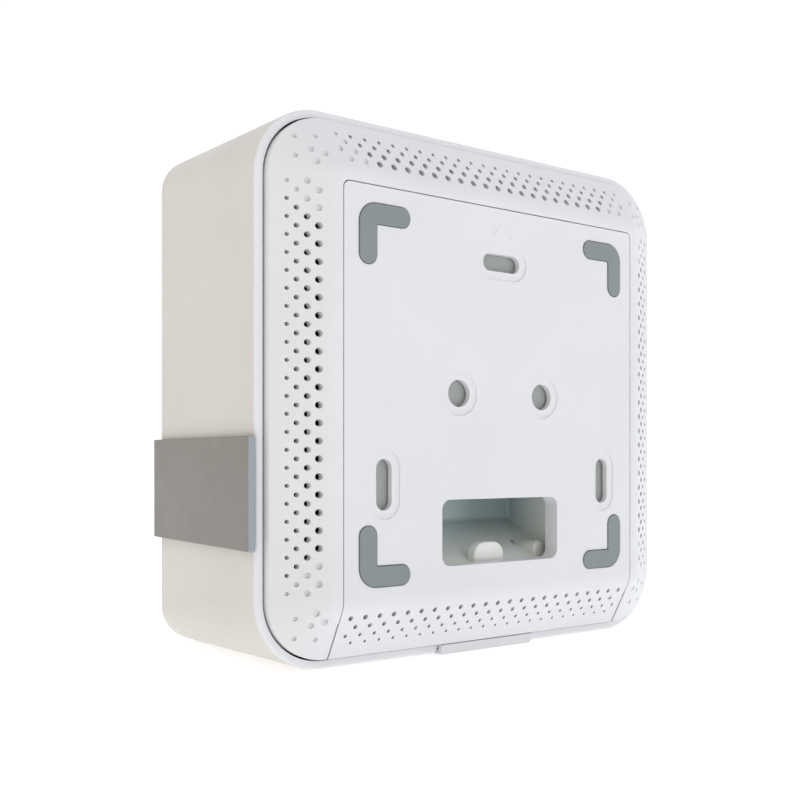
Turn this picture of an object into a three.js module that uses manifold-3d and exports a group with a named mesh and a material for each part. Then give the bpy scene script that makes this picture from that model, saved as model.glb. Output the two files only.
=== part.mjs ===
// Wall or ceiling access point: a deep square radio unit that hangs on a screwed-on mounting plate.
// Millimetres. The wall is the plane Y = 0, the unit stands out along +Y, and +Z is up on the wall.
import * as THREE from "three";
import { mergeVertices } from "three/addons/utils/BufferGeometryUtils.js";
import Module from "manifold-3d";

const wasm = await Module();
wasm.setup();

// ---------------------------------------------------------------- driving dimensions

// Housing: a square tray whose long corners tighten from the rim to the filleted front edge.
const BODY_HALF = 83;
const BODY_CORNER = 22;
const BODY_FRONT_CORNER = 12;
const BODY_FRONT = 85;
const FRONT_FILLET = 5;
const BODY_WALL = 2.5;
const RING_STEPS = 6;
const FILLET_STEPS = 3;

// Rear rim and the cover that stands proud of it.
const RIM_Y = 11.2;
const RIM_GROOVE = 0.6;
const BEVEL_RUN = 16.4;
const BEVEL_DROP = 9;
const COVER_WALL = 2.2;
const COVER_SKIRT = 3.4;
const PAN_DEPTH = 3;

// Mounting plate, flush with the cover's flat and its lower bevel.
const PLATE_MARGIN = 3.5;
const PLATE_WALL = 2.4;
const PLATE_CORNER = 2;
const LIFT = 8;

// Screw slots and holes in the plate.
const SLOT_LENGTH = 15.4;
const SLOT_WIDTH = 5.6;
const TOP_SLOT_INSET = 17.4;
const SIDE_SLOT_INSET = 14.1;
const SIDE_SLOT_Z = -28.2;
const HOLE_DIAMETER = 8.6;
const HOLE_SPACING = 35;
const RECESS_MARGIN = 2.8;
const RECESS_DEPTH = 0.4;

// Cable opening and the collar round it.
const OPENING_HALF = 24.4;
const OPENING_HEIGHT = 20.7;
const OPENING_RISE = 9.6;
const OPENING_CORNER = 3.2;
const COLLAR_WALL = 1.2;
const COLLAR_DEPTH = 5.8;

// Rubber foot pads.
const PAD_ARM = 18;
const PAD_WIDTH = 6;
const PAD_CORNER = 6;
const PAD_INSET = 5.2;
const PAD_PROUD = 0.4;
const PAD_SEAT = 1;

// T hooks of the plate.
const HOOK_X = 36;
const HOOK_ROWS = [34, -8];
const HOOK_STEM = 4;
const HOOK_HEAD = 8;
const HOOK_HEIGHT = 5;
const HOOK_HEAD_WALL = 2;

// Release tab under the plate.
const TAB_X = 1.9;
const TAB_HALF = 19.5;
const TAB_WALL = 1.7;
const TAB_PROUD = 0.4;
const TAB_RECESS = 1.6;
const TAB_LIP = 11;
const TAB_BARB = 0.9;
const TAB_BARB_LENGTH = 2.5;
const TAB_CHAMFER = 2;

// Accent band: along the left side, round the front corner and across the front.
const BAND_TOP = -14;
const BAND_HEIGHT = 33;
const BAND_WALL = 2.2;
const BAND_BACK = 1.2;
const BAND_MARGIN = 14;
const STUD_DIAMETER = 4;
const STUD_END = 0.7;
const STUD_INSET_Y = 18;
const STUD_INSET_X = 14;

// Port bay behind the cable opening.
const BAY_HALF = 30;
const BAY_WALL = 1.8;
const BAY_DEPTH = 31.5;
const BAY_HEADROOM = 5.2;
const RAMP_FRONT_Y = 6.8;
const RAMP_DROP = 1.6;
const RAMP_RISE = 13.5;
const TONGUE_X = 0.3;
const TONGUE_WIDTH = 12.6;
const TONGUE_HEIGHT = 7.8;
const TONGUE_WALL = 3.6;
const TONGUE_ROUND = 4.4;
const BAY_BOSS_X = 25.5;
const BAY_BOSS_RISE = 2.1;
const BAY_BOSS_SUNK = 2.7;
const BAY_BOSS_DIAMETER = 6.1;
const BAY_BOSS_LENGTH = 16;
const RESET_X = 20.5;
const RESET_RISE = 4.2;
const PINHOLE_DIAMETER = 2;
const SWITCH_HALF = 3;
const SWITCH_HEIGHT = 3.6;

// Jacks on the board, their mouths in the bay's roof.
const LAN_WIDTH = 16;
const LAN_HEIGHT = 13.5;
const LAN_LENGTH = 21.4;
const LAN_MOUTH = [11.8, 8.4, 14];
const LAN_PLACES = [-17, 1];
const POWER_X = 19;
const POWER_WIDTH = 9.5;
const POWER_LENGTH = 14;
const POWER_BORE = 6.4;
const POWER_PIN = 2;
const POWER_FLOOR = 3;

// Main board and what it carries.
const BOARD_Y = 33.8;
const BOARD_WALL = 1.6;
const BOARD_MARGIN = 12.5;
const BOARD_CORNER = 8;
const CHIP_SIZE = 22;
const CHIP_WALL = 2;
const PAD_WALL = 1;
const SINK_HALF = 42;
const SINK_BOTTOM = -2;
const SINK_TOP = 54;
const SINK_BASE = 2.5;
const SINK_FIN = 1.6;
const SINK_FIN_HEIGHT = 13;
const SINK_FINS = 9;
const SINK_LEG = 5;
const SHIELD_SIZE = 36;
const SHIELD_HEIGHT = 3;
const SHIELD_WALL = 0.6;
const SHIELD_CORNER = 2;
const SHIELD_X = 30;
const SHIELD_Z = 24;
const ANTENNA_LENGTH = 34;
const ANTENNA_HEIGHT = 15;
const ANTENNA_WALL = 1;
const ANTENNA_INSET = 3;
const ANTENNA_ARM = 5;
const ANTENNA_SLOT = [8.2, 10.8];
const ANTENNA_FOOT = [5, 7];

// Posts, screws and the status light.
const POST_INSET = 12;
const POST_DIAMETER = 9;
const SCREW_HEAD = 6.4;
const SCREW_HEAD_WALL = 1.8;
const SCREW_SHANK = 3;
const SCREW_LENGTH = 11;
const COVER_BOSS = 3;
const STANDOFF_X = 62;
const STANDOFF_Z = 20;
const STANDOFF_DIAMETER = 7;
const BOARD_SCREW_SHANK = 2.6;
const BOARD_SCREW_HEAD = 5;
const BOARD_SCREW_HEAD_WALL = 1.8;
const BOARD_SCREW_LENGTH = 8;
const LENS_LENGTH = 18;
const LENS_HEIGHT = 2;
const LENS_FLANGE = 2;
const LED_BOARD = [34, 1.2, 10];
const LED_SUNK = 7.3;
const LED_POST_X = 14.2;
const LED_POST = 4;
const RESET_TRAVEL = 0.7;
const RESET_DIAMETER = 3.2;
const RESET_SUNK = 4;
const RESET_FLANGE = 1;
const RESET_FLANGE_WALL = 1.2;
const GUIDE_WALL = 1.5;
const GUIDE_SHORT = 5;

// Clearances: GAP between pieces that touch, SEAM round the plate, FIT round what passes through.
const GAP = 0.3;
const SEAM = 0.35;
const FIT = 0.5;
const ROUND = 20;

// ---------------------------------------------------------------- worked-out dimensions

const COVER_HALF = BODY_HALF - BODY_WALL - RIM_GROOVE;
const COVER_CORNER = BODY_CORNER - BODY_WALL - RIM_GROOVE;
const FLAT_HALF = COVER_HALF - BEVEL_RUN;
const BEVEL_SLOPE = BEVEL_DROP / BEVEL_RUN;
const PLATE_HALF = FLAT_HALF - PLATE_MARGIN;
const PAN_INNER = PAN_DEPTH + COVER_WALL;
const SKIRT_Y = RIM_Y + COVER_SKIRT;
const OPENING_BOTTOM = -FLAT_HALF + OPENING_RISE;
const OPENING_TOP = OPENING_BOTTOM + OPENING_HEIGHT;
const OPENING_Z = (OPENING_BOTTOM + OPENING_TOP) / 2;
const BAY_TOP = OPENING_TOP + BAY_HEADROOM;
const BAY_LEDGE = OPENING_BOTTOM - COLLAR_WALL - FIT - LIFT;
const RAMP_LOW = OPENING_BOTTOM - RAMP_DROP;
const RAMP_HIGH = RAMP_LOW + RAMP_RISE;
const POST_AT = FLAT_HALF - POST_INSET;
const BOARD_HALF = BODY_HALF - BODY_WALL - BOARD_MARGIN;
const BOARD_FRONT = BOARD_Y + BOARD_WALL;
const HOUSING_FRONT_INNER = BODY_FRONT - BODY_WALL;
const LED_FRONT = BODY_FRONT - LED_SUNK;
const BAND_Z = BAND_TOP - BAND_HEIGHT / 2;
const BAND_FRONT = BODY_FRONT + GAP + BAND_WALL;
const TAB_END = RIM_Y + TAB_LIP;
const FAR = 400;

// ---------------------------------------------------------------- solids

function solid(geometry) {
  const bare = geometry.index ? geometry.toNonIndexed() : geometry.clone();
  bare.deleteAttribute("normal");
  bare.deleteAttribute("uv");
  const merged = mergeVertices(bare, 1e-3);
  return new wasm.Manifold(
    new wasm.Mesh({
      numProp: 3,
      vertProperties: merged.attributes.position.array,
      triVerts: new Uint32Array(merged.index.array),
    }),
  );
}

const join = (first, ...others) => others.reduce((whole, piece) => whole.add(piece), first);
const cut = (first, ...tools) => tools.reduce((whole, tool) => whole.subtract(tool), first);

function box(low, high) {
  const size = high.map((value, i) => value - low[i]);
  const centre = high.map((value, i) => (value + low[i]) / 2);
  return solid(new THREE.BoxGeometry(...size).translate(...centre));
}

// A disc or rod whose axis is parallel to Y.
function rod(x, z, diameter, y0, y1, sides = ROUND) {
  const geometry = new THREE.CylinderGeometry(diameter / 2, diameter / 2, y1 - y0, sides);
  return solid(geometry.translate(x, (y0 + y1) / 2, z));
}

function roundedRect(halfX, halfZ, radius, x = 0, z = 0) {
  const shape = new THREE.Shape();
  const [left, right, low, high] = [x - halfX, x + halfX, z - halfZ, z + halfZ];
  shape.moveTo(left + radius, low);
  shape.absarc(right - radius, low + radius, radius, -Math.PI / 2, 0);
  shape.absarc(right - radius, high - radius, radius, 0, Math.PI / 2);
  shape.absarc(left + radius, high - radius, radius, Math.PI / 2, Math.PI);
  shape.absarc(left + radius, low + radius, radius, Math.PI, Math.PI * 1.5);
  return shape;
}

// An outline drawn in X and Z, standing from depth y0 to depth y1.
function slab(shape, y0, y1, curveSegments = 6) {
  const geometry = new THREE.ExtrudeGeometry(shape, { depth: y1 - y0, bevelEnabled: false, curveSegments });
  return solid(geometry.rotateX(Math.PI / 2).translate(0, y1, 0));
}

// A profile drawn in Y and Z, running from x0 to x1.
function profile(points, x0, x1) {
  const shape = new THREE.Shape(points.map(([y, z]) => new THREE.Vector2(y, z)));
  const geometry = new THREE.ExtrudeGeometry(shape, { depth: x1 - x0, bevelEnabled: false });
  const turn = new THREE.Matrix4().set(0, 0, 1, x0, 1, 0, 0, 0, 0, 1, 0, 0, 0, 0, 0, 1);
  return solid(geometry.applyMatrix4(turn));
}

// Depth of the cover's outer face at height z, moved in by an offset: a flat, then the lower bevel.
const faceDepth = (z, offset) => offset + Math.max(0, -z - FLAT_HALF) * BEVEL_SLOPE;

// The layer between two offsets of that face, from height low to height high.
function layer(near, far, low, high, half) {
  const heights = [high, -FLAT_HALF, low];
  const outer = heights.map((z) => [faceDepth(z, near), z]);
  const inner = heights.map((z) => [faceDepth(z, far), z]).reverse();
  return profile([...outer, ...inner], -half, half);
}

// A square block with one bevel towards the wall, its flat at depth y0 and its straight side up to y1.
function bevelBlock(half, corner, y0, y1) {
  const flatHalf = half - BEVEL_RUN;
  const outline = roundedRect(flatHalf, flatHalf, corner - BEVEL_RUN);
  const geometry = new THREE.ExtrudeGeometry(outline, {
    depth: y1 - y0 - BEVEL_DROP,
    bevelThickness: BEVEL_DROP,
    bevelSize: BEVEL_RUN,
    bevelSegments: 1,
    curveSegments: 6,
  });
  const block = solid(geometry.rotateX(Math.PI / 2).translate(0, y1, 0));
  return cut(block, box([-FAR, y1, -FAR], [FAR, FAR, FAR]));
}

// A tray block with a fillet round its front edge.
// One closed ring of the housing's outline at a depth, corner by corner.
function outlineRing(half, corner, y) {
  const centre = half - corner;
  const points = [];
  for (let quarter = 0; quarter < 4; quarter += 1) {
    const [sideX, sideZ] = [quarter === 0 || quarter === 3 ? 1 : -1, quarter < 2 ? 1 : -1];
    for (let i = 0; i <= RING_STEPS; i += 1) {
      const angle = ((quarter + i / RING_STEPS) * Math.PI) / 2;
      points.push(sideX * centre + corner * Math.cos(angle), y, sideZ * centre + corner * Math.sin(angle));
    }
  }
  return points;
}

// A block whose long corners tighten towards a filleted front face.
function taperedBlock(half, rearCorner, frontCorner, y0, y1, fillet) {
  const rings = [outlineRing(half, rearCorner, y0)];
  for (let i = 0; i <= FILLET_STEPS; i += 1) {
    const angle = ((i / FILLET_STEPS) * Math.PI) / 2;
    const inset = fillet * (1 - Math.cos(angle));
    rings.push(outlineRing(half - inset, frontCorner - inset, y1 - fillet + fillet * Math.sin(angle)));
  }
  const count = rings[0].length / 3;
  const last = (rings.length - 1) * count;
  const index = [];
  for (let start = 0; start < last; start += count) {
    for (let i = 0; i < count; i += 1) {
      const [a, b] = [start + i, start + ((i + 1) % count)];
      index.push(a, a + count, b, b, a + count, b + count);
    }
  }
  for (let i = 1; i < count - 1; i += 1) {
    index.push(0, i, i + 1);
    index.push(last, last + i + 1, last + i);
  }
  const geometry = new THREE.BufferGeometry();
  geometry.setAttribute("position", new THREE.Float32BufferAttribute(rings.flat(), 3));
  geometry.setIndex(index);
  return solid(geometry);
}

function housingBlock(half, corner, y0, y1, fillet) {
  const geometry = new THREE.ExtrudeGeometry(roundedRect(half, half, corner), {
    depth: y1 - y0,
    bevelThickness: fillet,
    bevelSize: fillet,
    bevelOffset: -fillet,
    bevelSegments: 3,
    curveSegments: 6,
  });
  const block = solid(geometry.rotateX(Math.PI / 2).translate(0, y1 - fillet, 0));
  return cut(block, box([-FAR, -FAR, -FAR], [FAR, y0, FAR]));
}

const corners = [
  [-1, 1],
  [1, 1],
  [-1, -1],
  [1, -1],
];
const posts = corners.map(([sx, sz]) => [sx * POST_AT, sz * POST_AT]);
const standoffs = corners.map(([sx, sz]) => [sx * STANDOFF_X, sz * STANDOFF_Z]);

// ---------------------------------------------------------------- mounting plate

// Every screw slot and hole of the plate: centre, half length along X, half height along Z.
const screwHoles = [
  [0, PLATE_HALF - TOP_SLOT_INSET, SLOT_LENGTH / 2, SLOT_WIDTH / 2],
  [-PLATE_HALF + SIDE_SLOT_INSET, SIDE_SLOT_Z, SLOT_WIDTH / 2, SLOT_LENGTH / 2],
  [PLATE_HALF - SIDE_SLOT_INSET, SIDE_SLOT_Z, SLOT_WIDTH / 2, SLOT_LENGTH / 2],
  [-HOLE_SPACING / 2, 0, HOLE_DIAMETER / 2, HOLE_DIAMETER / 2],
  [HOLE_SPACING / 2, 0, HOLE_DIAMETER / 2, HOLE_DIAMETER / 2],
];

function stadium([x, z, halfX, halfZ], margin, y0, y1) {
  const radius = Math.min(halfX, halfZ) + margin;
  return slab(roundedRect(halfX + margin, halfZ + margin, radius - 0.01, x, z), y0, y1, 4);
}

// An L with a rounded outer corner and round arm ends, its corner towards (signX, signZ).
function padSolid(signX, signZ, margin, y0, y1) {
  const width = PAD_WIDTH + 2 * margin;
  const end = width / 2 - 0.01;
  const reach = PAD_ARM + margin;
  const half = (reach + margin) / 2;
  const cornerX = PLATE_HALF - PAD_INSET + margin;
  const cornerZ = (signZ > 0 ? PLATE_HALF : FLAT_HALF) - PAD_INSET + margin;
  const [midX, midZ] = [signX * (cornerX - half), signZ * (cornerZ - half)];
  const [armX, armZ] = [signX * (cornerX - width / 2), signZ * (cornerZ - width / 2)];
  const across = slab(roundedRect(half, width / 2, end, midX, armZ), y0, y1, 3);
  const upright = slab(roundedRect(width / 2, half, end, armX, midZ), y0, y1, 3);
  const elbow = slab(roundedRect(width / 2, width / 2, 0.1, armX, armZ), y0, y1, 1);
  const trim = slab(roundedRect(FAR / 2, FAR / 2, PAD_CORNER + margin), y0 - 1, y1 + 1, 4);
  const shift = [signX * (cornerX - FAR / 2), 0, signZ * (cornerZ - FAR / 2)];
  return join(across, upright, elbow).intersect(trim.translate(shift));
}

function hook(x, z) {
  const neckEnd = PAN_INNER + GAP;
  const stem = box(
    [x - HOOK_STEM / 2, PLATE_WALL - 0.5, z - HOOK_HEIGHT / 2],
    [x + HOOK_STEM / 2, neckEnd + HOOK_HEAD_WALL, z + HOOK_HEIGHT / 2],
  );
  const head = box(
    [x - HOOK_HEAD / 2, neckEnd, z - HOOK_HEIGHT / 2],
    [x + HOOK_HEAD / 2, neckEnd + HOOK_HEAD_WALL, z + HOOK_HEIGHT / 2],
  );
  return join(stem, head);
}

const hookPlaces = HOOK_ROWS.flatMap((z) => [
  [-HOOK_X, z],
  [HOOK_X, z],
]);

function openingSlab(margin, y0, y1) {
  const [halfX, halfZ] = [OPENING_HALF + margin, OPENING_HEIGHT / 2 + margin];
  return slab(roundedRect(halfX, halfZ, OPENING_CORNER + margin, 0, OPENING_Z), y0, y1);
}

function mountingPlate() {
  const sheet = layer(0, PLATE_WALL, -COVER_HALF, PLATE_HALF, PLATE_HALF);
  const outline = slab(roundedRect(PLATE_HALF, FAR / 2, PLATE_CORNER, 0, PLATE_HALF - FAR / 2), -1, FAR, 3);
  const within = slab(roundedRect(COVER_HALF, COVER_HALF, COVER_CORNER), -1, FAR, 6);
  const plate = join(
    sheet.intersect(outline).intersect(within),
    openingSlab(COLLAR_WALL, PLATE_WALL - 0.5, COLLAR_DEPTH),
    ...hookPlaces.map(([x, z]) => hook(x, z)),
  );
  const rimPath = box([-FAR, RIM_Y - GAP, -FAR], [FAR, FAR, FAR]);
  return cut(
    plate,
    rimPath,
    openingSlab(0, -1, COLLAR_DEPTH + 1),
    ...screwHoles.map((hole) => stadium(hole, 0, -1, PLATE_WALL + 1)),
    ...screwHoles.map((hole) => stadium(hole, RECESS_MARGIN, -1, RECESS_DEPTH)),
    ...corners.map(([sx, sz]) => padSolid(sx, sz, GAP, -1, PAD_SEAT)),
  );
}

// The tab laps over the rim below the plate, and its lip runs forward under the housing to a barb.
function releaseTab() {
  const [left, right] = [TAB_X - TAB_HALF, TAB_X + TAB_HALF];
  const back = RIM_Y - GAP - TAB_WALL;
  const under = -BODY_HALF + TAB_RECESS - GAP;
  const low = -BODY_HALF - TAB_PROUD;
  const outline = [
    [back, -COVER_HALF - GAP],
    [back, low],
    [TAB_END, low],
    [TAB_END, under + TAB_BARB],
    [TAB_END - TAB_BARB_LENGTH, under],
    [RIM_Y - GAP, under],
    [RIM_Y - GAP, -COVER_HALF - GAP],
  ];
  const chamfer = new THREE.Shape();
  chamfer.moveTo(right - TAB_CHAMFER - 1, low - 1);
  chamfer.lineTo(right + 1, low - 1);
  chamfer.lineTo(right + 1, low + TAB_CHAMFER + 1);
  return cut(profile(outline, left, right), slab(chamfer, 0, BODY_FRONT));
}

// ---------------------------------------------------------------- rear cover

function keyhole(x, z) {
  const high = z + HOOK_HEIGHT / 2;
  const low = z - HOOK_HEIGHT / 2;
  const narrow = HOOK_STEM / 2 + FIT;
  const wide = HOOK_HEAD / 2 + FIT;
  return join(
    box([x - narrow, 0, low - LIFT], [x + narrow, SKIRT_Y, high + GAP]),
    box([x - wide, 0, low - LIFT - FIT], [x + wide, SKIRT_Y, high - LIFT + FIT]),
  );
}

function rearCover() {
  const outside = bevelBlock(COVER_HALF, COVER_CORNER, 0, SKIRT_Y);
  const hollow = bevelBlock(COVER_HALF - COVER_WALL, COVER_CORNER - COVER_WALL, COVER_WALL, SKIRT_Y + 10);
  const windowHalf = PLATE_HALF + SEAM;
  const curb = windowHalf + COVER_WALL;
  const pan = layer(0, PAN_INNER, -COVER_HALF - 1, curb, curb).intersect(outside);
  const window = layer(-1, PAN_DEPTH, -COVER_HALF - 2, windowHalf, windowHalf);
  const windowOutline = roundedRect(windowHalf, FAR / 2, PLATE_CORNER, 0, windowHalf - FAR / 2);
  const bosses = posts.map(([x, z]) => rod(x, z, POST_DIAMETER, PAN_INNER - 1, PAN_INNER + COVER_BOSS));
  const seats = posts.flatMap(([x, z]) => [
    rod(x, z, SCREW_HEAD + 2 * FIT, 0, PAN_DEPTH + SCREW_HEAD_WALL + GAP),
    rod(x, z, SCREW_SHANK + 2 * GAP, 0, SKIRT_Y + 1),
  ]);
  const collarRoom = COLLAR_WALL + FIT;
  const bayHole = box(
    [-OPENING_HALF - collarRoom, 0, BAY_LEDGE],
    [OPENING_HALF + collarRoom, SKIRT_Y, OPENING_TOP + collarRoom],
  );
  return cut(
    join(cut(outside, hollow), pan, ...bosses),
    window.intersect(slab(windowOutline, -2, FAR, 3)),
    ...seats,
    ...hookPlaces.map(([x, z]) => keyhole(x, z)),
    bayHole,
  );
}

// ---------------------------------------------------------------- port bay

// Jacks, as centre X, width, and the depth at which each one starts.
const jackBoxes = [
  ...LAN_PLACES.map((x) => [x, LAN_WIDTH, BOARD_Y - GAP - LAN_HEIGHT, LAN_LENGTH]),
  [POWER_X, POWER_WIDTH, BOARD_Y - GAP - LAN_HEIGHT, POWER_LENGTH],
];

const jackBlock = ([x, width, y0, length], margin) =>
  box(
    [x - width / 2 - margin, y0 - margin, BAY_TOP - margin],
    [x + width / 2 + margin, BOARD_Y - GAP + margin, BAY_TOP + length + margin],
  );

const rampSlope = (RAMP_HIGH - RAMP_LOW) / (BAY_DEPTH - RAMP_FRONT_Y);
const rampDepthAt = (z) => RAMP_FRONT_Y + (z - RAMP_LOW) / rampSlope;
const RESET_Z = OPENING_BOTTOM + RESET_RISE;
const SWITCH_Y = BOARD_Y - GAP - SWITCH_HEIGHT;
const RESET_BACK = SWITCH_Y - GAP - RESET_TRAVEL;
const RESET_FRONT = rampDepthAt(RESET_Z) + RESET_SUNK;

function portBay() {
  const open = PAN_INNER + GAP;
  const inner = [
    [0, BAY_TOP],
    [BAY_DEPTH, BAY_TOP],
    [BAY_DEPTH, RAMP_HIGH],
    [RAMP_FRONT_Y, RAMP_LOW],
    [RAMP_FRONT_Y, BAY_LEDGE],
    [0, BAY_LEDGE],
  ];
  const outer = [
    [open, BAY_TOP + BAY_WALL],
    [BAY_DEPTH + BAY_WALL, BAY_TOP + BAY_WALL],
    [BAY_DEPTH + BAY_WALL, RAMP_HIGH - BAY_WALL / 2],
    [RAMP_FRONT_Y + BAY_WALL, RAMP_LOW - BAY_WALL],
    [RAMP_FRONT_Y + BAY_WALL, BAY_LEDGE - BAY_WALL],
    [open, BAY_LEDGE - BAY_WALL],
  ];
  const shell = cut(
    profile(outer.reverse(), -BAY_HALF - BAY_WALL, BAY_HALF + BAY_WALL),
    profile(inner.reverse(), -BAY_HALF, BAY_HALF),
  );
  const aboveRamp = profile(
    [
      [RAMP_FRONT_Y, BAY_TOP],
      [BAY_DEPTH, BAY_TOP],
      [BAY_DEPTH, RAMP_HIGH - BAY_WALL / 2],
      [RAMP_FRONT_Y, RAMP_LOW - BAY_WALL / 2],
    ].reverse(),
    -BAY_HALF,
    BAY_HALF,
  );
  const tongueShape = roundedRect(TONGUE_WIDTH / 2, TONGUE_HEIGHT, TONGUE_ROUND, TONGUE_X, RAMP_LOW);
  const tongue = slab(tongueShape, RAMP_FRONT_Y, RAMP_FRONT_Y + TONGUE_WALL);
  const bossZ = OPENING_BOTTOM + BAY_BOSS_RISE;
  const bossBack = RAMP_FRONT_Y + BAY_BOSS_SUNK;
  const boss = rod(BAY_BOSS_X, bossZ, BAY_BOSS_DIAMETER, bossBack, bossBack + BAY_BOSS_LENGTH, 14);
  const guideDiameter = RESET_DIAMETER + 2 * GUIDE_WALL;
  const guide = rod(RESET_X, RESET_Z, guideDiameter, rampDepthAt(RESET_Z), RESET_BACK - GUIDE_SHORT, 14);
  const rampHeightAt = (y) => RAMP_LOW + (y - RAMP_FRONT_Y) * rampSlope;
  const overRamp = profile(
    [
      [0, rampHeightAt(0)],
      [FAR, rampHeightAt(FAR)],
      [0, FAR],
    ],
    -BAY_HALF,
    BAY_HALF,
  );
  const bay = join(shell, tongue.intersect(aboveRamp), boss.intersect(aboveRamp), cut(guide, overRamp));
  return cut(
    bay,
    layer(-FAR, PAN_INNER + GAP, -BODY_HALF, FAR / 2, FAR / 2),
    ...jackBoxes.map((jack) => jackBlock(jack, GAP)),
    rod(RESET_X, RESET_Z, PINHOLE_DIAMETER, 0, RESET_FRONT + 1, 12),
    rod(RESET_X, RESET_Z, RESET_DIAMETER + 2 * GAP, RESET_FRONT - GAP, FAR, 14),
  );
}

function lanJack(x) {
  const [width, height, depth] = LAN_MOUTH;
  const middle = BOARD_Y - GAP - LAN_HEIGHT / 2;
  const mouth = box(
    [x - width / 2, middle - height / 2, BAY_TOP - 1],
    [x + width / 2, middle + height / 2, BAY_TOP + depth],
  );
  return cut(jackBlock([x, LAN_WIDTH, BOARD_Y - GAP - LAN_HEIGHT, LAN_LENGTH], 0), mouth);
}

function powerJack() {
  const middle = BOARD_Y - GAP - LAN_HEIGHT / 2;
  const upright = (diameter, z0, z1) => {
    const geometry = new THREE.CylinderGeometry(diameter / 2, diameter / 2, z1 - z0, 14);
    return solid(geometry.rotateX(Math.PI / 2).translate(POWER_X, middle, (z0 + z1) / 2));
  };
  const floor = BAY_TOP + POWER_LENGTH - POWER_FLOOR;
  const body = cut(jackBlock(jackBoxes.at(-1), 0), upright(POWER_BORE, BAY_TOP - 1, floor));
  return join(body, upright(POWER_PIN, BAY_TOP + 1, floor + 1));
}

function resetButton() {
  return join(
    rod(RESET_X, RESET_Z, RESET_DIAMETER, RESET_FRONT, RESET_BACK, 14),
    rod(RESET_X, RESET_Z, RESET_DIAMETER + 2 * RESET_FLANGE, RESET_BACK - RESET_FLANGE_WALL, RESET_BACK, 14),
  );
}

// ---------------------------------------------------------------- housing and band

const BAND_OUT = BODY_HALF + GAP + BAND_WALL;
const BAND_END = BODY_HALF - BAND_MARGIN;

// The studs that hold the band: two through the left wall, two through the front wall.
function bandStuds(diameter, inward, outward) {
  const shaft = new THREE.CylinderGeometry(diameter / 2, diameter / 2, inward + outward, 12);
  const side = shaft.clone().rotateZ(Math.PI / 2);
  const shift = (outward - inward) / 2;
  return [
    ...[RIM_Y + STUD_INSET_Y, BODY_FRONT - STUD_INSET_Y].map((y) =>
      solid(side.clone().translate(-BODY_HALF - shift, y, BAND_Z)),
    ),
    ...[-1, 1].map((end) =>
      solid(shaft.clone().translate(end * (BAND_END - STUD_INSET_X), BODY_FRONT + shift, BAND_Z)),
    ),
  ];
}

function lensOutline(margin) {
  const radius = LENS_HEIGHT / 2 - GAP + margin;
  return roundedRect(LENS_LENGTH / 2 + margin, LENS_HEIGHT / 2 + margin, radius, 0, BAND_Z);
}

function mainHousing() {
  const outside = taperedBlock(BODY_HALF, BODY_CORNER, BODY_FRONT_CORNER, RIM_Y, BODY_FRONT, FRONT_FILLET);
  const innerFillet = FRONT_FILLET - BODY_WALL;
  const innerHalf = BODY_HALF - BODY_WALL;
  const hollow = housingBlock(innerHalf, BODY_CORNER - BODY_WALL, 0, HOUSING_FRONT_INNER, innerFillet);
  const postFront = PAN_INNER + COVER_BOSS + GAP;
  const columns = [
    ...posts.map(([x, z]) => rod(x, z, POST_DIAMETER, postFront, HOUSING_FRONT_INNER + 1)),
    ...standoffs.map(([x, z]) => rod(x, z, STANDOFF_DIAMETER, BOARD_FRONT + GAP, HOUSING_FRONT_INNER + 1)),
    ...[-1, 1].map((side) =>
      rod(side * LED_POST_X, BAND_Z, LED_POST, LED_FRONT + GAP, HOUSING_FRONT_INNER + 1, 12),
    ),
  ];
  const screwEnd = PAN_DEPTH + SCREW_HEAD_WALL + SCREW_LENGTH;
  const [seatLeft, seatRight] = [TAB_X - TAB_HALF - FIT, TAB_X + TAB_HALF + FIT];
  const tabSeat = box(
    [seatLeft, RIM_Y - 1, -BODY_HALF - 1],
    [seatRight, TAB_END + FIT, -BODY_HALF + TAB_RECESS],
  );
  const barbWindow = box(
    [seatLeft, TAB_END - TAB_BARB_LENGTH - FIT, -BODY_HALF - 1],
    [seatRight, TAB_END + FIT, -BODY_HALF + BODY_WALL + 1],
  );
  const lensSlot = slab(lensOutline(GAP), 0, FAR, 3);
  return cut(
    join(cut(outside, hollow), ...columns),
    ...posts.map(([x, z]) => rod(x, z, SCREW_SHANK + 2 * GAP, 0, screwEnd + 1, 12)),
    ...standoffs.map(([x, z]) => rod(x, z, BOARD_SCREW_SHANK + 2 * GAP, 0, BOARD_Y + BOARD_SCREW_LENGTH, 12)),
    ...bandStuds(STUD_DIAMETER + 2 * GAP, BODY_WALL + 2, 2),
    tabSeat,
    barbWindow,
    lensSlot,
  );
}

// A strip that runs along the left side, wraps the front corner and crosses the front.
function accentBand() {
  const wrap = (half, front, radius, low, high) => {
    const shape = new THREE.Shape();
    shape.moveTo(-half, RIM_Y - BAND_BACK);
    shape.lineTo(BAND_END, RIM_Y - BAND_BACK);
    shape.lineTo(BAND_END, front);
    shape.absarc(-half + radius, front - radius, radius, Math.PI / 2, Math.PI);
    const options = { depth: high - low, bevelEnabled: false, curveSegments: 6 };
    return solid(new THREE.ExtrudeGeometry(shape, options).translate(0, 0, low));
  };
  const low = BAND_TOP - BAND_HEIGHT;
  const outside = wrap(BAND_OUT, BAND_FRONT, FRONT_FILLET + GAP + BAND_WALL, low, BAND_TOP);
  const core = wrap(BODY_HALF + GAP, BODY_FRONT + GAP, FRONT_FILLET + GAP, low - 1, BAND_TOP + 1);
  const behind = box([-BODY_HALF - GAP, 0, -FAR], [FAR, RIM_Y + 1, FAR]);
  const lensSlot = slab(lensOutline(GAP), BODY_FRONT - 1, FAR, 3);
  const studs = bandStuds(STUD_DIAMETER, BODY_WALL + STUD_END, GAP + BAND_WALL / 2);
  return cut(join(cut(outside, core, behind), ...studs), lensSlot);
}

const LENS_BACK = HOUSING_FRONT_INNER - GAP;

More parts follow.
